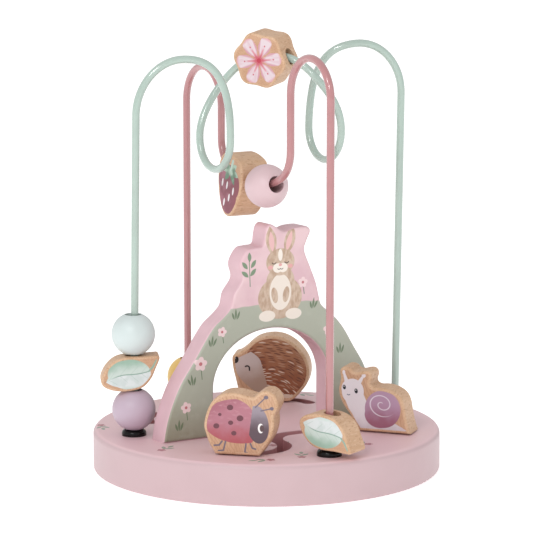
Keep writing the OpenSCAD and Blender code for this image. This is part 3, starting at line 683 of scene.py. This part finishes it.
def flower_print(props):
    """Six petals with streaks, red in the middle and each with a dot."""
    p = face_wood("flower print", props, ACROSS)
    along, beside, far = p.slices(0, 0, 6, 15)
    side = abs(beside)
    tip_u, tip_v = (along - 9.0) * (1 / 4.9), beside * (1 / 3.7)
    tip = p.crisp(1 - (tip_u * tip_u * tip_u * tip_u + tip_v * tip_v), 3.7)
    waist = p.crisp(along * 0.36 + 0.35 - side, 2.0) & p.ramp(along, 9.1, 8.8)
    tip = tip & p.crisp(along * 0.44 + 0.4 - side, 2.0)
    petals = tip | waist
    turn = p.math("ARCTAN2", p.z, p.x)
    fan = p.add("ShaderNodeCombineXYZ", {}, {0: turn * 8.0, 1: far * 0.15, 2: 0.0})
    streak = p.add("ShaderNodeTexNoise", {}, {"Vector": fan, "Scale": 1.0, "Detail": 2.0})
    pale = p.mix(ink(228, 200, 206), ink(240, 230, 233), p.ramp(streak, 0.36, 0.56))
    pale = p.mix(pale, ink(200, 176, 184), 0.6)
    pale = p.mix(pale, ink(196, 128, 142), p.ramp(side - along * 0.28, -0.2, 0.9) * 0.75)
    pale = p.mix(pale, ink(212, 150, 160), p.ramp(far + streak * 2, 13.2, 14.6) * 0.8)
    pale = p.mix(pale, ink(206, 112, 128), p.ramp(side, 0.8, 0.2) * p.ramp(far, 8.8, 6) * 0.75)
    pale = p.mix(pale, ink(192, 76, 92), p.ramp(far + streak * 5, 8.0, 4.0) * 0.9)
    p.lay(pale, petals)
    p.lay(ink(184, 58, 76), p.oval(0, 0, 1.3, 1.3))
    dots = p.petals(0, 0, 6, 8.4, 9.5, 0.9, 15)
    p.lay(ink(190, 84, 100), dots * 0.9)
    return p


def berry_print(props):
    """A strawberry with its seeds, green leaves and stem."""
    p = face_wood("strawberry print", props, ACROSS)
    cloud = p.noise(0.2, 3)
    fruit = p.oval(0, 1.8, 12.0, 10.4) | p.oval(0, -4.0, 9.8, 12.6)
    red = p.mix(ink(130, 70, 82), ink(154, 98, 112), p.ramp(cloud - p.x * 0.012, 0.4, 0.68))
    red = p.mix(red, ink(136, 66, 76), p.ramp(p.x, 3, 10) * 0.7)
    p.lay(red, fruit)
    seeds = any_of(p.oval(x, z, 0.85, 2.4, -6) for x, z in (
        (-7.4, -0.2), (-2.0, -0.4), (5.4, -1.8), (1.4, -6.8), (-3.6, -11)))
    p.lay(ink(230, 224, 226), seeds)
    calyx = any_of(p.leaf(x, z, length, 4.0, turn) for x, z, length, turn in (
        (-4.6, 8.8, 10.4, 10), (4.6, 8.8, 10.4, -12), (-2.4, 6.2, 10, 58), (3.0, 6.0, 10, -56),
        (3.4, 11.4, 8.6, 34), (-3.2, 11.2, 8.4, -36)))
    green = p.mix(ink(96, 126, 104), ink(166, 188, 170), p.ramp(cloud + p.z * 0.03, 0.62, 0.9))
    p.lay(green, calyx)
    p.lay(ink(178, 198, 186), p.stroke(0.4, 9.4, 2.2, 15.2, 1.5, 2.2))
    return p


def arch_print(props):
    """A meadow with tufts and daisies, and a rabbit that sits up on it."""
    p = Paint("arch print", 0.46)
    cloud = p.noise(0.05, 3)
    p.colour(p.mix(prop_ink(props.arch_pink), ink(228, 198, 202), p.ramp(cloud, 0.35, 0.65)))
    hill = p.ramp(p.z + p.x * p.x * 0.0012 + p.noise(0.12) * 1.5, 74.6, 73.9)
    sage = p.mix(ink(142, 138, 118), ink(173, 177, 162), p.ramp(p.z + cloud * 22, 6, 40))
    sage = p.mix(sage, ink(184, 188, 174), p.ramp(p.noise(0.16, 4), 0.5, 0.75) * 0.35)
    p.lay(sage, hill)
    # Grass
    blades = []
    for x, z, lean in ((-61, 6, 0), (-40, 52, 1), (59, 8, -1), (46, 40, 0), (-52, 31, -1),
                       (27, 68, 1), (-24, 66, 0)):
        for k, high in ((-1, 4.6), (0, 6.6), (1, 5.2)):
            blades.append(p.leaf(x + k * 1.7 + lean * 0.6, z + high / 2, high, 1.3,
                                 90 - k * 20 - lean * 8))
    p.lay(ink(92, 114, 84), any_of(blades) * 0.85)
    # Daisies
    daisies = ((-47, 43, 4.2, 10), (-56.5, 19, 3.4, 30), (53, 25, 3.6, 0), (38, 55, 3.6, 24),
               (-33, 60, 3.0, 0), (20.5, 84, 3.2, 12))
    stems = any_of(p.stroke(x, z, x + 0.9, z - r * 2.1, 0.5) for x, z, r, _ in daisies)
    p.lay(ink(104, 124, 98), stems)
    petals = any_of(p.petals(x, z, 5, 0.2, r, r * 0.82, turn) for x, z, r, turn in daisies)
    p.lay(ink(234, 208, 210), petals)
    hearts = any_of(p.oval(x, z, r * 0.26, r * 0.26) for x, z, r, _ in daisies)
    p.lay(ink(192, 116, 122), hearts)
    # Rabbit, from the front
    fur = p.noise(0.5, 3, (1, 1, 0.5))
    tan = p.mix(ink(186, 158, 136), ink(208, 186, 166), p.ramp(fur, 0.35, 0.65))
    tan = p.mix(tan, ink(164, 134, 112), p.ramp(p.z + cloud * 10, 76, 66) * 0.5)
    ears = any_of((p.leaf(-0.6, 109.4, 17, 7.0, 97), p.leaf(11.6, 109, 17, 7.0, 73)))
    p.lay(tan, any_of((ears, p.oval(5.2, 76.6, 14.6, 12.4), p.oval(5.4, 85.4, 9.4, 9.6))))
    inner = any_of((p.leaf(-0.4, 109, 12, 3.4, 97), p.leaf(11.3, 108.6, 12, 3.4, 73)))
    p.lay(ink(228, 184, 184), inner)
    bib = any_of((p.oval(5.4, 79.6, 7.2, 10.4), p.oval(-3.4, 66.4, 5.4, 3.2),
                  p.oval(14.2, 66.4, 5.4, 3.2)))
    p.lay(ink(238, 228, 217), bib * 0.95)
    head = any_of((p.oval(5.4, 97, 9.4, 7.8), p.oval(1.6, 78, 2.1, 4.6, 10),
                   p.oval(9.2, 78, 2.1, 4.6, -10)))
    p.lay(tan, head)
    muzzle = any_of((p.oval(3.6, 93.6, 3.1, 2.7), p.oval(7.2, 93.6, 3.1, 2.7),
                     p.oval(5.4, 101, 1.5, 3.4)))
    p.lay(ink(240, 231, 221), muzzle)
    blush = any_of((p.oval(-1.2, 94.2, 1.7, 1.2), p.oval(12, 94.2, 1.7, 1.2),
                    p.oval(5.4, 95.3, 1.1, 0.8)))
    p.lay(ink(224, 168, 166), blush)
    lines = any_of((p.curve(1.2, 97.6, 1.5, 0.55, -90, 66), p.curve(9.6, 97.6, 1.5, 0.55, -90, 66),
                    p.curve(4.5, 93.7, 0.95, 0.4, -90, 70), p.curve(6.3, 93.7, 0.95, 0.4, -90, 70)))
    p.lay(ink(84, 64, 58), lines)
    # Sprig in the shoulder at the left
    sprig = any_of(p.leaf(x, z, 5.6, 2.4, turn) for x, z, turn in (
        (-17.8, 91.6, 140), (-12.6, 92.4, 48), (-18, 96.6, 130), (-12.4, 97.2, 55),
        (-15, 101.2, 92)))
    p.lay(ink(122, 144, 118), sprig | p.stroke(-14.6, 84.5, -15.2, 99, 0.55))
    return p.satin(0.42, 0.1, 0.05)


def board_pink(name, props):
    """The pink paint of a board of the base."""
    return Paint(name, 0.42).cloudy(prop_ink(props.base_pink), 0.05, (0.98, 0.975, 0.975))


def tracked(p, props, top):
    """A board's paint, with painted shade, a darker pink, where tracks are cut below that top,
    inside the rim.
    """
    inside = p.ramp(p.reach(p.x, p.y), BASE_R - 4, BASE_R - 5)
    cut = p.ramp(p.z, top - 0.1, top - 0.5) * inside
    # Painted shade: the walls and floors of the cut tracks get a darker pink
    return p.lay(prop_ink(props.track_painted_shade), cut).satin(0.36, 0.12, 0.025)


def deck_paint(props):
    """The deck's pink, with a painted highlight that makes its top paler than its sides, little
    printed sprigs and painted shade in its tracks.
    """
    p = board_pink("deck paint", props)
    # Painted light: the top face and its rounding get a paler pink, as if lit from above
    p.lay(prop_ink(props.deck_top_painted_light), p.ramp(p.z, BASE_H - 1.5, BASE_H))
    top = p.ramp(p.z, BASE_H - 0.25, BASE_H - 0.1)
    # The sprigs lie on the plane of X and Y
    height, p.z = p.z, p.y
    leaves, buds = [], []
    for x, y, turn in ((-78, -22, 30), (-48, -74, 160), (-22, -74, 60), (22, -66, 110),
                       (74, -34, 200), (82, 22, 20), (-84, 44, 250), (-42, 84, 320),
                       (30, 84, 80), (0, 18, 140), (64, 62, 300), (-18, -45, 15)):
        c, s = math.cos(math.radians(turn)), math.sin(math.radians(turn))
        for along, side, length, lean in (
                (0, 1.9, 6.8, 38), (0, -1.9, 6.4, -38), (4.4, 0, 5.8, 0)):
            leaves.append(p.leaf(x + along * c - side * s, y + along * s + side * c,
                                 length, 2.3, turn + lean))
        buds.append(p.petals(x - 5.5 * c, y - 5.5 * s, 5, 0.1, 2.7, 2.0, turn))
    p.z = height
    p.lay(ink(128, 150, 130), any_of(leaves) * top * 0.9)
    p.lay(ink(160, 88, 98), any_of(buds) * top * 0.85)
    return tracked(p, props, BASE_H)


def plate_paint(props):
    """The plate's pink, with painted shade in its channels."""
    return tracked(board_pink("plate paint", props), props, PLATE_H)


# Settings that a user would change

SENSOR_W = 36.0
# The focal length and the picture's width, in pixels
FOCAL_PX, PICTURE_PX = 2600, 533


def tint(label, words, red, green, blue):
    """A colour, given as a screen shows it, from 0 to 255."""
    return bpy.props.FloatVectorProperty(
        name=label, description=words, subtype="COLOR_GAMMA", min=0, max=1,
        default=(red / 255, green / 255, blue / 255))


def number(label, words, default, **kind):
    """A value of some kind."""
    return bpy.props.FloatProperty(name=label, description=words, default=default, **kind)


def size(label, words, default, low, high):
    """A length, given in millimetres."""
    return number(label, words, default * MM, min=low * MM, max=high * MM, unit="LENGTH",
                  precision=4)


class MazeColours(bpy.types.PropertyGroup):
    """Colours of the paints, coats and woods, with painted light on the deck's top, painted shade
    in the tracks and partly painted shade on the figures' faces.
    """
    base_pink: tint("Base pink", "Paint of the two boards", 197, 170, 174)
    # Painted light: the paler pink that the deck's top gets, as if lit from above
    deck_top_painted_light: tint("Deck pink", "Paint on top of the deck", 225, 191, 196)
    arch_pink: tint("Arch pink", "Paint on the arch's edges", 218, 182, 190)
    # Painted shade: the darker pink of the cut tracks' walls and floors
    track_painted_shade: tint("Track walls", "Walls of the cut tracks", 198, 144, 148)
    mint_wire: tint("Mint wire", "Coat of the mint wire", 168, 187, 177)
    pink_wire: tint("Pink wire", "Coat of the pink wire", 180, 124, 126)
    lilac: tint("Lilac", "Paint of the lilac ball", 190, 171, 186)
    mint: tint("Mint", "Paint of the pale mint ball", 205, 216, 215)
    yellow: tint("Yellow", "Paint of the yellow ball", 226, 188, 108)
    blush: tint("Blush", "Paint of the pink ball", 212, 185, 189)
    collar: tint("Collar", "Plastic of the collars", 14, 12, 12)
    beech: tint("Beech", "Middle tone of the bare wood", 207, 170, 138)
    beech_dark: tint("Beech, dark", "Dark bands of the bare wood", 196, 156, 122)
    beech_light: tint("Beech, light", "Pale streaks of the bare wood", 222, 193, 164)
    # Partly painted shade: the faces' warm tone is also darker than the sides'
    beech_face_tone_and_shade: tint("Beech, faces", "Warm tone of the wood around the prints", 190, 145, 116)
    beech_fleck: tint("Beech flecks", "Short flecks of the bare wood", 168, 122, 90)
    glide: tint("Glide", "Plastic of the glides", 236, 234, 230)
    steel: tint("Screws", "Plated steel of the screws", 186, 188, 190)


class MazeSizes(bpy.types.PropertyGroup):
    """Sizes of the pieces that this file makes."""
    wire_d: size("Wire", "Diameter of the coated wires", 4.4, 4, 4.6)
    bore_d: size("Bore", "Diameter of the beads' bores", 9.5, 9, 10)
    animal_t: size("Animals", "Thickness of the animals", 16.5, 16, 18)
    animal_edge: size("Animal edges", "Rounding of the animals' edges", 1.5, 1, 1.8)
    bead_edge: size("Bead edges", "Rounding of the flat beads' edges", 1.2, 0.8, 1.5)
    arch_t: size("Arch", "Thickness of the arch", 15, 14, 18)
    arch_edge: size("Arch edges", "Rounding of the arch's edges", 1.8, 1, 2)


class MazeStage(bpy.types.PropertyGroup):
    """Camera, lights and floor."""
    azimuth: number("Azimuth", "Camera's turn around the toy", math.radians(-31), subtype="ANGLE")
    elevation: number("Elevation", "Camera's height as an angle", math.radians(9.04),
                      subtype="ANGLE")
    distance: number("Distance", "Camera's distance from the toy's middle", 1.4897, unit="LENGTH")
    aim_height: number("Aim", "Height that the camera looks at", 0.1163, unit="LENGTH")
    lens: number("Lens", "Focal length", SENSOR_W * FOCAL_PX / PICTURE_PX, unit="CAMERA")
    key_power: number("Key light", "Power of the key light", 3.4, min=0, unit="POWER")
    fill_power: number("Fill light", "Power of the fill light", 1.5, min=0, unit="POWER")
    glint_power: number("Glint", "Power of the small lamp that marks glossy pieces", 2.2, min=0,
                        unit="POWER")
    sky: number("Surround", "Strength of the white surround", 0.77, min=0)
    floor_glow: number("Floor glow", "Light that the floor gives", 0.5, min=0)


# Operators

class MAZE_OT_base(bpy.types.Operator):
    """Paints the base's two boards, its screws and the animals' glides"""
    bl_idname = "maze.base"
    bl_label = "Base"

    def execute(self, context):
        c = context.scene.maze_colours
        dress_nodes(["base_deck"], deck_paint(c))
        dress_nodes(["base_plate"], plate_paint(c))
        steel = Paint("plated steel", 0.32, metallic=1.0).colour(prop_ink(c.steel))
        steel.rough(steel.noise(2.5, 2, (1, 1, 0.2)) * 0.2 + 0.24)
        steel.bump(steel.noise(3.0), 0.05, 0.03)
        dress_nodes(["base_screws", "arch_screws", "ladybird_screw", "snail_screw",
                     "hedgehog_screw"], steel)
        plastic = Paint("glide plastic", 0.45).colour(prop_ink(c.glide))
        plastic.lay(ink(220, 216, 210), plastic.ramp(plastic.noise(0.3), 0.4, 0.7))
        plastic.bump(plastic.noise(2.0), 0.05, 0.05)
        dress_nodes(["ladybird_glide", "snail_glide", "hedgehog_glide"], plastic)
        return {"FINISHED"}


class MAZE_OT_arch(bpy.types.Operator):
    """Makes the arch with its rounded edges, pink border and printed faces"""
    bl_idname = "maze.arch"
    bl_label = "Arch"

    def execute(self, context):
        c, s = context.scene.maze_colours, context.scene.maze_sizes
        outline = smooth_outline(ARCH_SHARES, ARCH_W, ARCH_H, False)
        half, side, top, steps = 38.3, 27.0, 32.0, 48
        # One loop runs over the top, along the left foot, over the doorway and along the right foot
        door = [Vector((half * math.cos(a), side + top * math.sin(a)))
                for a in (math.pi - math.pi * k / steps for k in range(steps + 1))]
        ring = outline + [Vector((-half, 0))] + door + [Vector((half, 0))]
        mesh = plaque_mesh("arch_board", ring, s.arch_t / MM, s.arch_edge / MM, border=0.3, wrap=2)
        stand_for("arch", "_board", mesh, moved(ARCH_X, ARCH_Y, BASE_H), "base", "arch_paint",
                  painted("arch paint", prop_ink(c.arch_pink)), arch_print(c))
        return {"FINISHED"}


class MAZE_OT_wires(bpy.types.Operator):
    """Makes the two coated wires and paints their collars"""
    bl_idname = "maze.wires"
    bl_label = "Wires"

    def mint_half(self):
        """Half of the mint wire, from the top of its dome to the foot of its right post."""
        apex, loop_at, loop_r = Vector((54, 4, 239.5)), Vector((33, 0, 192.5)), 17.4
        half, across, lean = (math.radians(turn) for turn in (44, DOME_TURN, -MINT_TURN))
        shoulder = Vector((MINT_REACH, 0, MINT_SHOULDER_Z))
        down = Vector((0, 0, -1))
        dome_steps, steps = 20, 40
        # How far a curve's ends pull, times the way that it goes
        bend_pull, drop_pull, loop_pull, rise_pull, top_pull = 1.657, 1.1, 1.2, 2.2, 1.2

        def dome(a):
            s = DOME_R * math.sin(a)
            return Vector((s * math.cos(across), s * math.sin(across),
                           DOME_Z - DOME_R * (1 - math.cos(a))))

        def loop(a):
            s = math.cos(a)
            way = Vector((s * math.sin(lean), -s * math.cos(lean), -math.sin(a)))
            return loop_at + loop_r * way

        out = Vector((math.cos(half) * math.cos(across), math.cos(half) * math.sin(across),
                      -math.sin(half)))
        apex_out = Vector((MINT_REACH - apex.x, -apex.y, 0)).normalized()
        end, drop, rise = dome(half), dome(half).z - loop_at.z, apex.z - loop_at.z
        legs = ((end, out * drop * drop_pull, loop(0), down * drop * loop_pull),
                (loop(math.pi), -down * rise * rise_pull, apex, apex_out * rise * top_pull),
                (apex, apex_out * (MINT_REACH - apex.x) * bend_pull,
                 shoulder, down * (apex.z - MINT_SHOULDER_Z) * bend_pull))
        path = [dome(half * k / dome_steps) for k in range(dome_steps)]
        path += [hermite(*legs[0], k / steps) for k in range(steps)]
        path += [loop(math.pi * k / steps) for k in range(steps)]
        for leg in legs[1:]:
            path += [hermite(*leg, k / steps) for k in range(steps)]
        post = [Vector((MINT_REACH, 0, z)) for z in (BEAD_Z, WIRE_FOOT)]
        return path + [shoulder] + post

    def swayed(self, p):
        """The bent top leans and slopes, and the posts take up the lean above their collars."""
        share = (p.z - BEAD_Z) / (MINT_SHOULDER_Z - BEAD_Z)
        lean = Vector((MINT_SWAY, 0, p.x * math.tan(math.radians(MINT_SLOPE))))
        return p + max(0, min(share, 1)) * lean

    def pink_half(self, top):
        """Half of the pink wire, from its lowest point to the foot of a post, with that top."""
        bend, corner, steps = 21.5, 18.0, 20
        leg = PINK_REACH - bend * 2
        half = math.asin((leg - corner) / (LOW_R - corner))
        centre = LOW_Z + LOW_R
        corner_z = centre - (LOW_R - corner) * math.cos(half)
        path = []
        for k in range(steps):
            a = half * k / steps
            path.append(Vector((0, LOW_R * math.sin(a), centre - LOW_R * math.cos(a))))
        for k in range(steps + 1):
            a = half + (math.pi / 2 - half) * k / steps
            path.append(Vector((0, leg - corner * (1 - math.sin(a)),
                                corner_z - corner * math.cos(a))))
        for k in range(2 * steps + 1):
            a = math.pi * (1 - k / (2 * steps))
            path.append(Vector((0, PINK_REACH - bend + bend * math.cos(a),
                                top - bend + bend * math.sin(a))))
        return path + [Vector((0, PINK_REACH, WIRE_FOOT))]

    def execute(self, context):
        c, s = context.scene.maze_colours, context.scene.maze_sizes
        half = self.mint_half()
        mint = [Vector((-p.x, -p.y, p.z)) for p in reversed(half[1:])] + half
        mint = [self.swayed(p) for p in mint]
        front, back = self.pink_half(240.0), self.pink_half(227.0)
        pink = [Vector((0, -p.y, p.z)) for p in reversed(front[1:])] + back
        pink_place = moved(PINK_X, 0, 0) @ turned("Z", PINK_TURN)
        for node, path, place, colour, slot in (
                ("mint_wire", mint, turned("Z", MINT_TURN), c.mint_wire, "mint_coat"),
                ("pink_wire", pink, pink_place, c.pink_wire, "pink_coat")):
            mesh = wire_mesh(node + "_coated", path, s.wire_d / MM)
            stand_for(node, "_coated", mesh, place, "base", slot,
                      painted(node + " coat", prop_ink(colour), 0.22, 0.01, coat=1.0))
        gloss = Paint("collar plastic", 0.12).colour(prop_ink(c.collar))
        gloss.feed(gloss.shader, {"Specular IOR Level": 0.22})
        gloss.lay(ink(20, 17, 17), gloss.ramp(gloss.noise(0.4), 0.5, 0.8))
        gloss.rough(gloss.noise(0.7) * 0.04 + 0.05)
        dress_nodes(["collar_mint_left", "collar_mint_right", "collar_pink_front",
                     "collar_pink_back"], gloss)
        return {"FINISHED"}


class MAZE_OT_balls(bpy.types.Operator):
    """Paints the round beads"""
    bl_idname = "maze.balls"
    bl_label = "Round beads"

    def execute(self, context):
        c = context.scene.maze_colours
        for node, colour in (("lilac_ball", c.lilac), ("mint_ball", c.mint),
                             ("yellow_ball", c.yellow), ("pink_ball", c.blush)):
            dress_nodes([node], painted(node + " paint", prop_ink(colour), 0.4, 0.06))
        return {"FINISHED"}


class MAZE_OT_leaf_beads(bpy.types.Operator):
    """Makes the two leaf beads"""
    bl_idname = "maze.leaf_beads"
    bl_label = "Leaf beads"

    def execute(self, context):
        c, s = context.scene.maze_colours, context.scene.maze_sizes
        outline = smooth_outline(LEAF_SHARES, LEAF_W, LEAF_H, True)
        wood = bare_wood("leaf wood", c)
        a, b = math.radians(MINT_TURN), math.radians(PINK_TURN)
        left = Vector((-MINT_REACH * math.cos(a), -MINT_REACH * math.sin(a), 0))
        front = Vector((PINK_X + PINK_REACH * math.sin(b), -PINK_REACH * math.cos(b), 0))
        for node, post, z, turn, thick, up, shift, bore_x in (
                ("leaf_bead_left", left, 49.9, -25, 14.5, True, -2.2, 2.2),
                ("leaf_bead_front", front, BEAD_Z, -64, 16.5, False, 1.8, 0)):
            pts = [Vector((q.x, -q.y)) for q in reversed(outline)] if up else outline
            mesh = plaque_mesh(node + "_wood", pts, thick, s.bead_edge / MM)
            mesh = bored(mesh, moved(bore_x, 0, 0), s.bore_d / MM)
            place = moved(post.x, post.y, z + LEAF_H / 2) @ turned("Z", turn) @ moved(shift, 0, 0)
            stand_for(node, "_wood", mesh, place, node, "beech", wood, leaf_print(c, up))
        return {"FINISHED"}


class MAZE_OT_flower_bead(bpy.types.Operator):
    """Makes the flower bead on the mint wire's dome"""
    bl_idname = "maze.flower_bead"
    bl_label = "Flower bead"

    def execute(self, context):
        c, s = context.scene.maze_colours, context.scene.maze_sizes
        radius, dip, petals, thick, steps = 16.25, 1.7, 6, 19.0, 120
        # Where it hangs on the dome, how far under the wire's middle, and how it tilts and spins
        along, under, tilt, spin = -5, 1.75, 5, 15
        outline = []
        for i in range(steps):
            a = 2 * math.pi * i / steps
            r = radius - dip * (0.5 - 0.5 * math.cos(petals * a))
            outline.append(Vector((r * math.cos(a), r * math.sin(a))))
        mesh = plaque_mesh("flower_bead_wood", outline, thick, s.bead_edge / MM)
        mesh = bored(mesh, turned("Y", 90 - spin), s.bore_d / MM)
        place = (turned("Z", MINT_TURN) @ moved(MINT_SWAY, 0, DOME_Z - DOME_R)
                 @ turned("Z", DOME_TURN) @ turned("Y", along) @ moved(0, 0, DOME_R - under)
                 @ turned("X", tilt) @ turned("Y", spin))
        stand_for("flower_bead", "_wood", mesh, place, "flower_bead", "beech",
                  bare_wood("flower wood", c), flower_print(c))
        return {"FINISHED"}


class MAZE_OT_strawberry_bead(bpy.types.Operator):
    """Makes the strawberry bead on the pink wire's low arc"""
    bl_idname = "maze.strawberry_bead"
    bl_label = "Strawberry bead"

    def execute(self, context):
        c, s = context.scene.maze_colours, context.scene.maze_sizes
        thick, bore_z = 18.0, 2.6
        # The ball's edge on the arc, the gap to it, and how far under the wire's middle the bore is
        ball_edge, gap, under = -0.8, 0.3, 0.5
        outline = smooth_outline(BERRY_SHARES, BERRY_W, BERRY_H, True)
        mesh = plaque_mesh("strawberry_bead_wood", outline, thick, s.bead_edge / MM)
        mesh = bored(mesh, moved(0, 0, bore_z) @ turned("Y", 90), s.bore_d / MM)
        # The ball and this bead come closest a little inside the arc
        close_r = LOW_R - BALL_D * 0.2
        swing = math.degrees((ball_edge + (BERRY_W + gap) / 2) / close_r)
        place = (moved(PINK_X, 0, 0) @ turned("Z", PINK_TURN) @ moved(0, 0, LOW_Z + LOW_R)
                 @ turned("X", swing) @ moved(0, 0, -LOW_R - under) @ turned("Z", -90)
                 @ moved(0, 0, -bore_z))
        stand_for("strawberry_bead", "_wood", mesh, place, "strawberry_bead", "beech",
                  bare_wood("strawberry wood", c), berry_print(c))
        return {"FINISHED"}


class MAZE_OT_animals(bpy.types.Operator):
    """Makes the ladybird, the snail and the hedgehog"""
    bl_idname = "maze.animals"
    bl_label = "Animals"

    def execute(self, context):
        c, s = context.scene.maze_colours, context.scene.maze_sizes
        wood = bare_wood("animal wood", c)
        # Outline, width, height and foot, then the track's centre and radius, and the place and
        # turn on it
        for node, shares, w, h, foot, centre, r, at, turn, face in (
                ("ladybird", LADYBIRD_SHARES, 42.0, 36.5, -0.05,
                 (-35, -41), 19.0, -137.5, -44, ladybird_print),
                ("snail", SNAIL_SHARES, 43.0, 36.5, 0.146,
                 (0, -92.4), 67.4, 39.5, -51, snail_print),
                ("hedgehog", HEDGEHOG_SHARES, 46.7, 40.0, -0.05,
                 (35, 41), 19.0, 83, -38, hedgehog_print)):
            outline = smooth_outline(shares, w, h, False)
            x = centre[0] + r * math.cos(math.radians(at))
            y = centre[1] + r * math.sin(math.radians(at))
            place = moved(x, y, ANIMAL_Z) @ turned("Z", turn) @ moved(-foot * w, 0, 0)
            mesh = plaque_mesh(node + "_wood", outline, s.animal_t / MM, s.animal_edge / MM)
            stand_for(node, "_wood", mesh, place, node, "beech", wood, face(c))
        return {"FINISHED"}


# Lamps by azimuth and elevation in degrees, with distance and size in metres
LAMPS = (("key", -60, 38, 1.6, 0.3), ("fill", 30, 24, 1.8, 1.2), ("glint", -44, 30, 1.3, 0.24))
LAMP_AIM = Vector((0, 0, 0.1))
FLOOR_HALF = 40.0
# The side that the surround is brighter on, and its tone from the dim side to the bright one
BRIGHT_SIDE = (-0.34, 0.1, 0.12)
SIDE_FROM, SIDE_TO = -0.5, 0.25
DIM_TONE, BRIGHT_TONE = 0.72, 1.05


class MAZE_OT_stage(bpy.types.Operator):
    """Sets the floor, the lights and the camera"""
    bl_idname = "maze.stage"
    bl_label = "Stage"

    def put(self, name, data, aim, azimuth, elevation, distance):
        """A lamp or a camera in the scene, turned to its aim."""
        obj = bpy.data.objects.new(name, data)
        flat = math.cos(elevation)
        way = Vector((math.sin(azimuth) * flat, -math.cos(azimuth) * flat, math.sin(elevation)))
        obj.location = aim + distance * way
        obj.rotation_euler = (aim - obj.location).to_track_quat("-Z", "Y").to_euler()
        bpy.context.scene.collection.objects.link(obj)
        return obj

    def floor(self, glow):
        bm = bmesh.new()
        bmesh.ops.create_grid(bm, x_segments=8, y_segments=8, size=FLOOR_HALF)
        floor = bpy.data.objects.new("floor", mesh_of(bm, "floor"))
        bpy.context.scene.collection.objects.link(floor)
        pale = Paint("pale floor", 0.7).colour(ink(246, 246, 246))
        pale.lay(ink(242, 242, 242), pale.noise(0.01))
        pale.feed(pale.shader, {"Emission Color": (1, 1, 1, 1), "Emission Strength": glow})
        dress(floor, pale)

    def surround(self, strength):
        """White all around, a little dimmer to the right."""
        world = bpy.data.worlds.new("surround")
        tree = Tree(world)
        way = tree.add("ShaderNodeTexCoord", out="Generated")
        side = tree.add("ShaderNodeVectorMath", {"operation": "DOT_PRODUCT"},
                        {0: way, 1: BRIGHT_SIDE}, out="Value")
        tone = tree.add("ShaderNodeMapRange", {},
                        {0: side, 1: SIDE_FROM, 2: SIDE_TO, 3: DIM_TONE, 4: BRIGHT_TONE})
        tree.feed(tree.nodes["Background"], {"Strength": strength, "Color": tone})
        return world

    def execute(self, context):
        scene, s = context.scene, context.scene.maze_stage
        self.floor(s.floor_glow)
        scene.world = self.surround(s.sky)
        powers = (s.key_power, s.fill_power, s.glint_power)
        for (name, azimuth, elevation, distance, width), power in zip(LAMPS, powers):
            lamp = bpy.data.lights.new(name, "AREA")
            lamp.shape, lamp.size, lamp.energy = "DISK", width, power
            self.put(name, lamp, LAMP_AIM, math.radians(azimuth), math.radians(elevation), distance)
        camera = bpy.data.cameras.new("camera")
        camera.lens, camera.sensor_width, camera.clip_end = s.lens, SENSOR_W, 20.0
        aim = Vector((0, 0, s.aim_height))
        scene.camera = self.put("camera", camera, aim, s.azimuth, s.elevation, s.distance)
        scene.view_settings.view_transform = "Standard"
        return {"FINISHED"}


OPERATORS = (MAZE_OT_base, MAZE_OT_arch, MAZE_OT_wires, MAZE_OT_balls, MAZE_OT_leaf_beads,
             MAZE_OT_flower_bead, MAZE_OT_strawberry_bead, MAZE_OT_animals, MAZE_OT_stage)


class MAZE_PT_panel(bpy.types.Panel):
    """Lists the steps that dress the toy, and its settings"""
    bl_idname = "MAZE_PT_panel"
    bl_label = "Bead maze"
    bl_space_type = "VIEW_3D"
    bl_region_type = "UI"
    bl_category = "Maze"

    def draw(self, context):
        scene = context.scene
        for step in OPERATORS:
            self.layout.operator(step.bl_idname)
        for group in (scene.maze_colours, scene.maze_sizes, scene.maze_stage):
            box = self.layout.box()
            for key in group.bl_rna.properties.keys():
                if key not in ("rna_type", "name"):
                    box.prop(group, key)


CLASSES = (MazeColours, MazeSizes, MazeStage, *OPERATORS, MAZE_PT_panel)


def register():
    for cls in CLASSES:
        bpy.utils.register_class(cls)
    bpy.types.Scene.maze_colours = bpy.props.PointerProperty(type=MazeColours)
    bpy.types.Scene.maze_sizes = bpy.props.PointerProperty(type=MazeSizes)
    bpy.types.Scene.maze_stage = bpy.props.PointerProperty(type=MazeStage)


def unregister():
    del bpy.types.Scene.maze_colours, bpy.types.Scene.maze_sizes, bpy.types.Scene.maze_stage
    for cls in reversed(CLASSES):
        bpy.utils.unregister_class(cls)


def main():
    register()
    bpy.ops.maze.base()
    bpy.ops.maze.arch()
    bpy.ops.maze.wires()
    bpy.ops.maze.balls()
    bpy.ops.maze.leaf_beads()
    bpy.ops.maze.flower_bead()
    bpy.ops.maze.strawberry_bead()
    bpy.ops.maze.animals()
    bpy.ops.maze.stage()


if __name__ == "__main__":
    main()
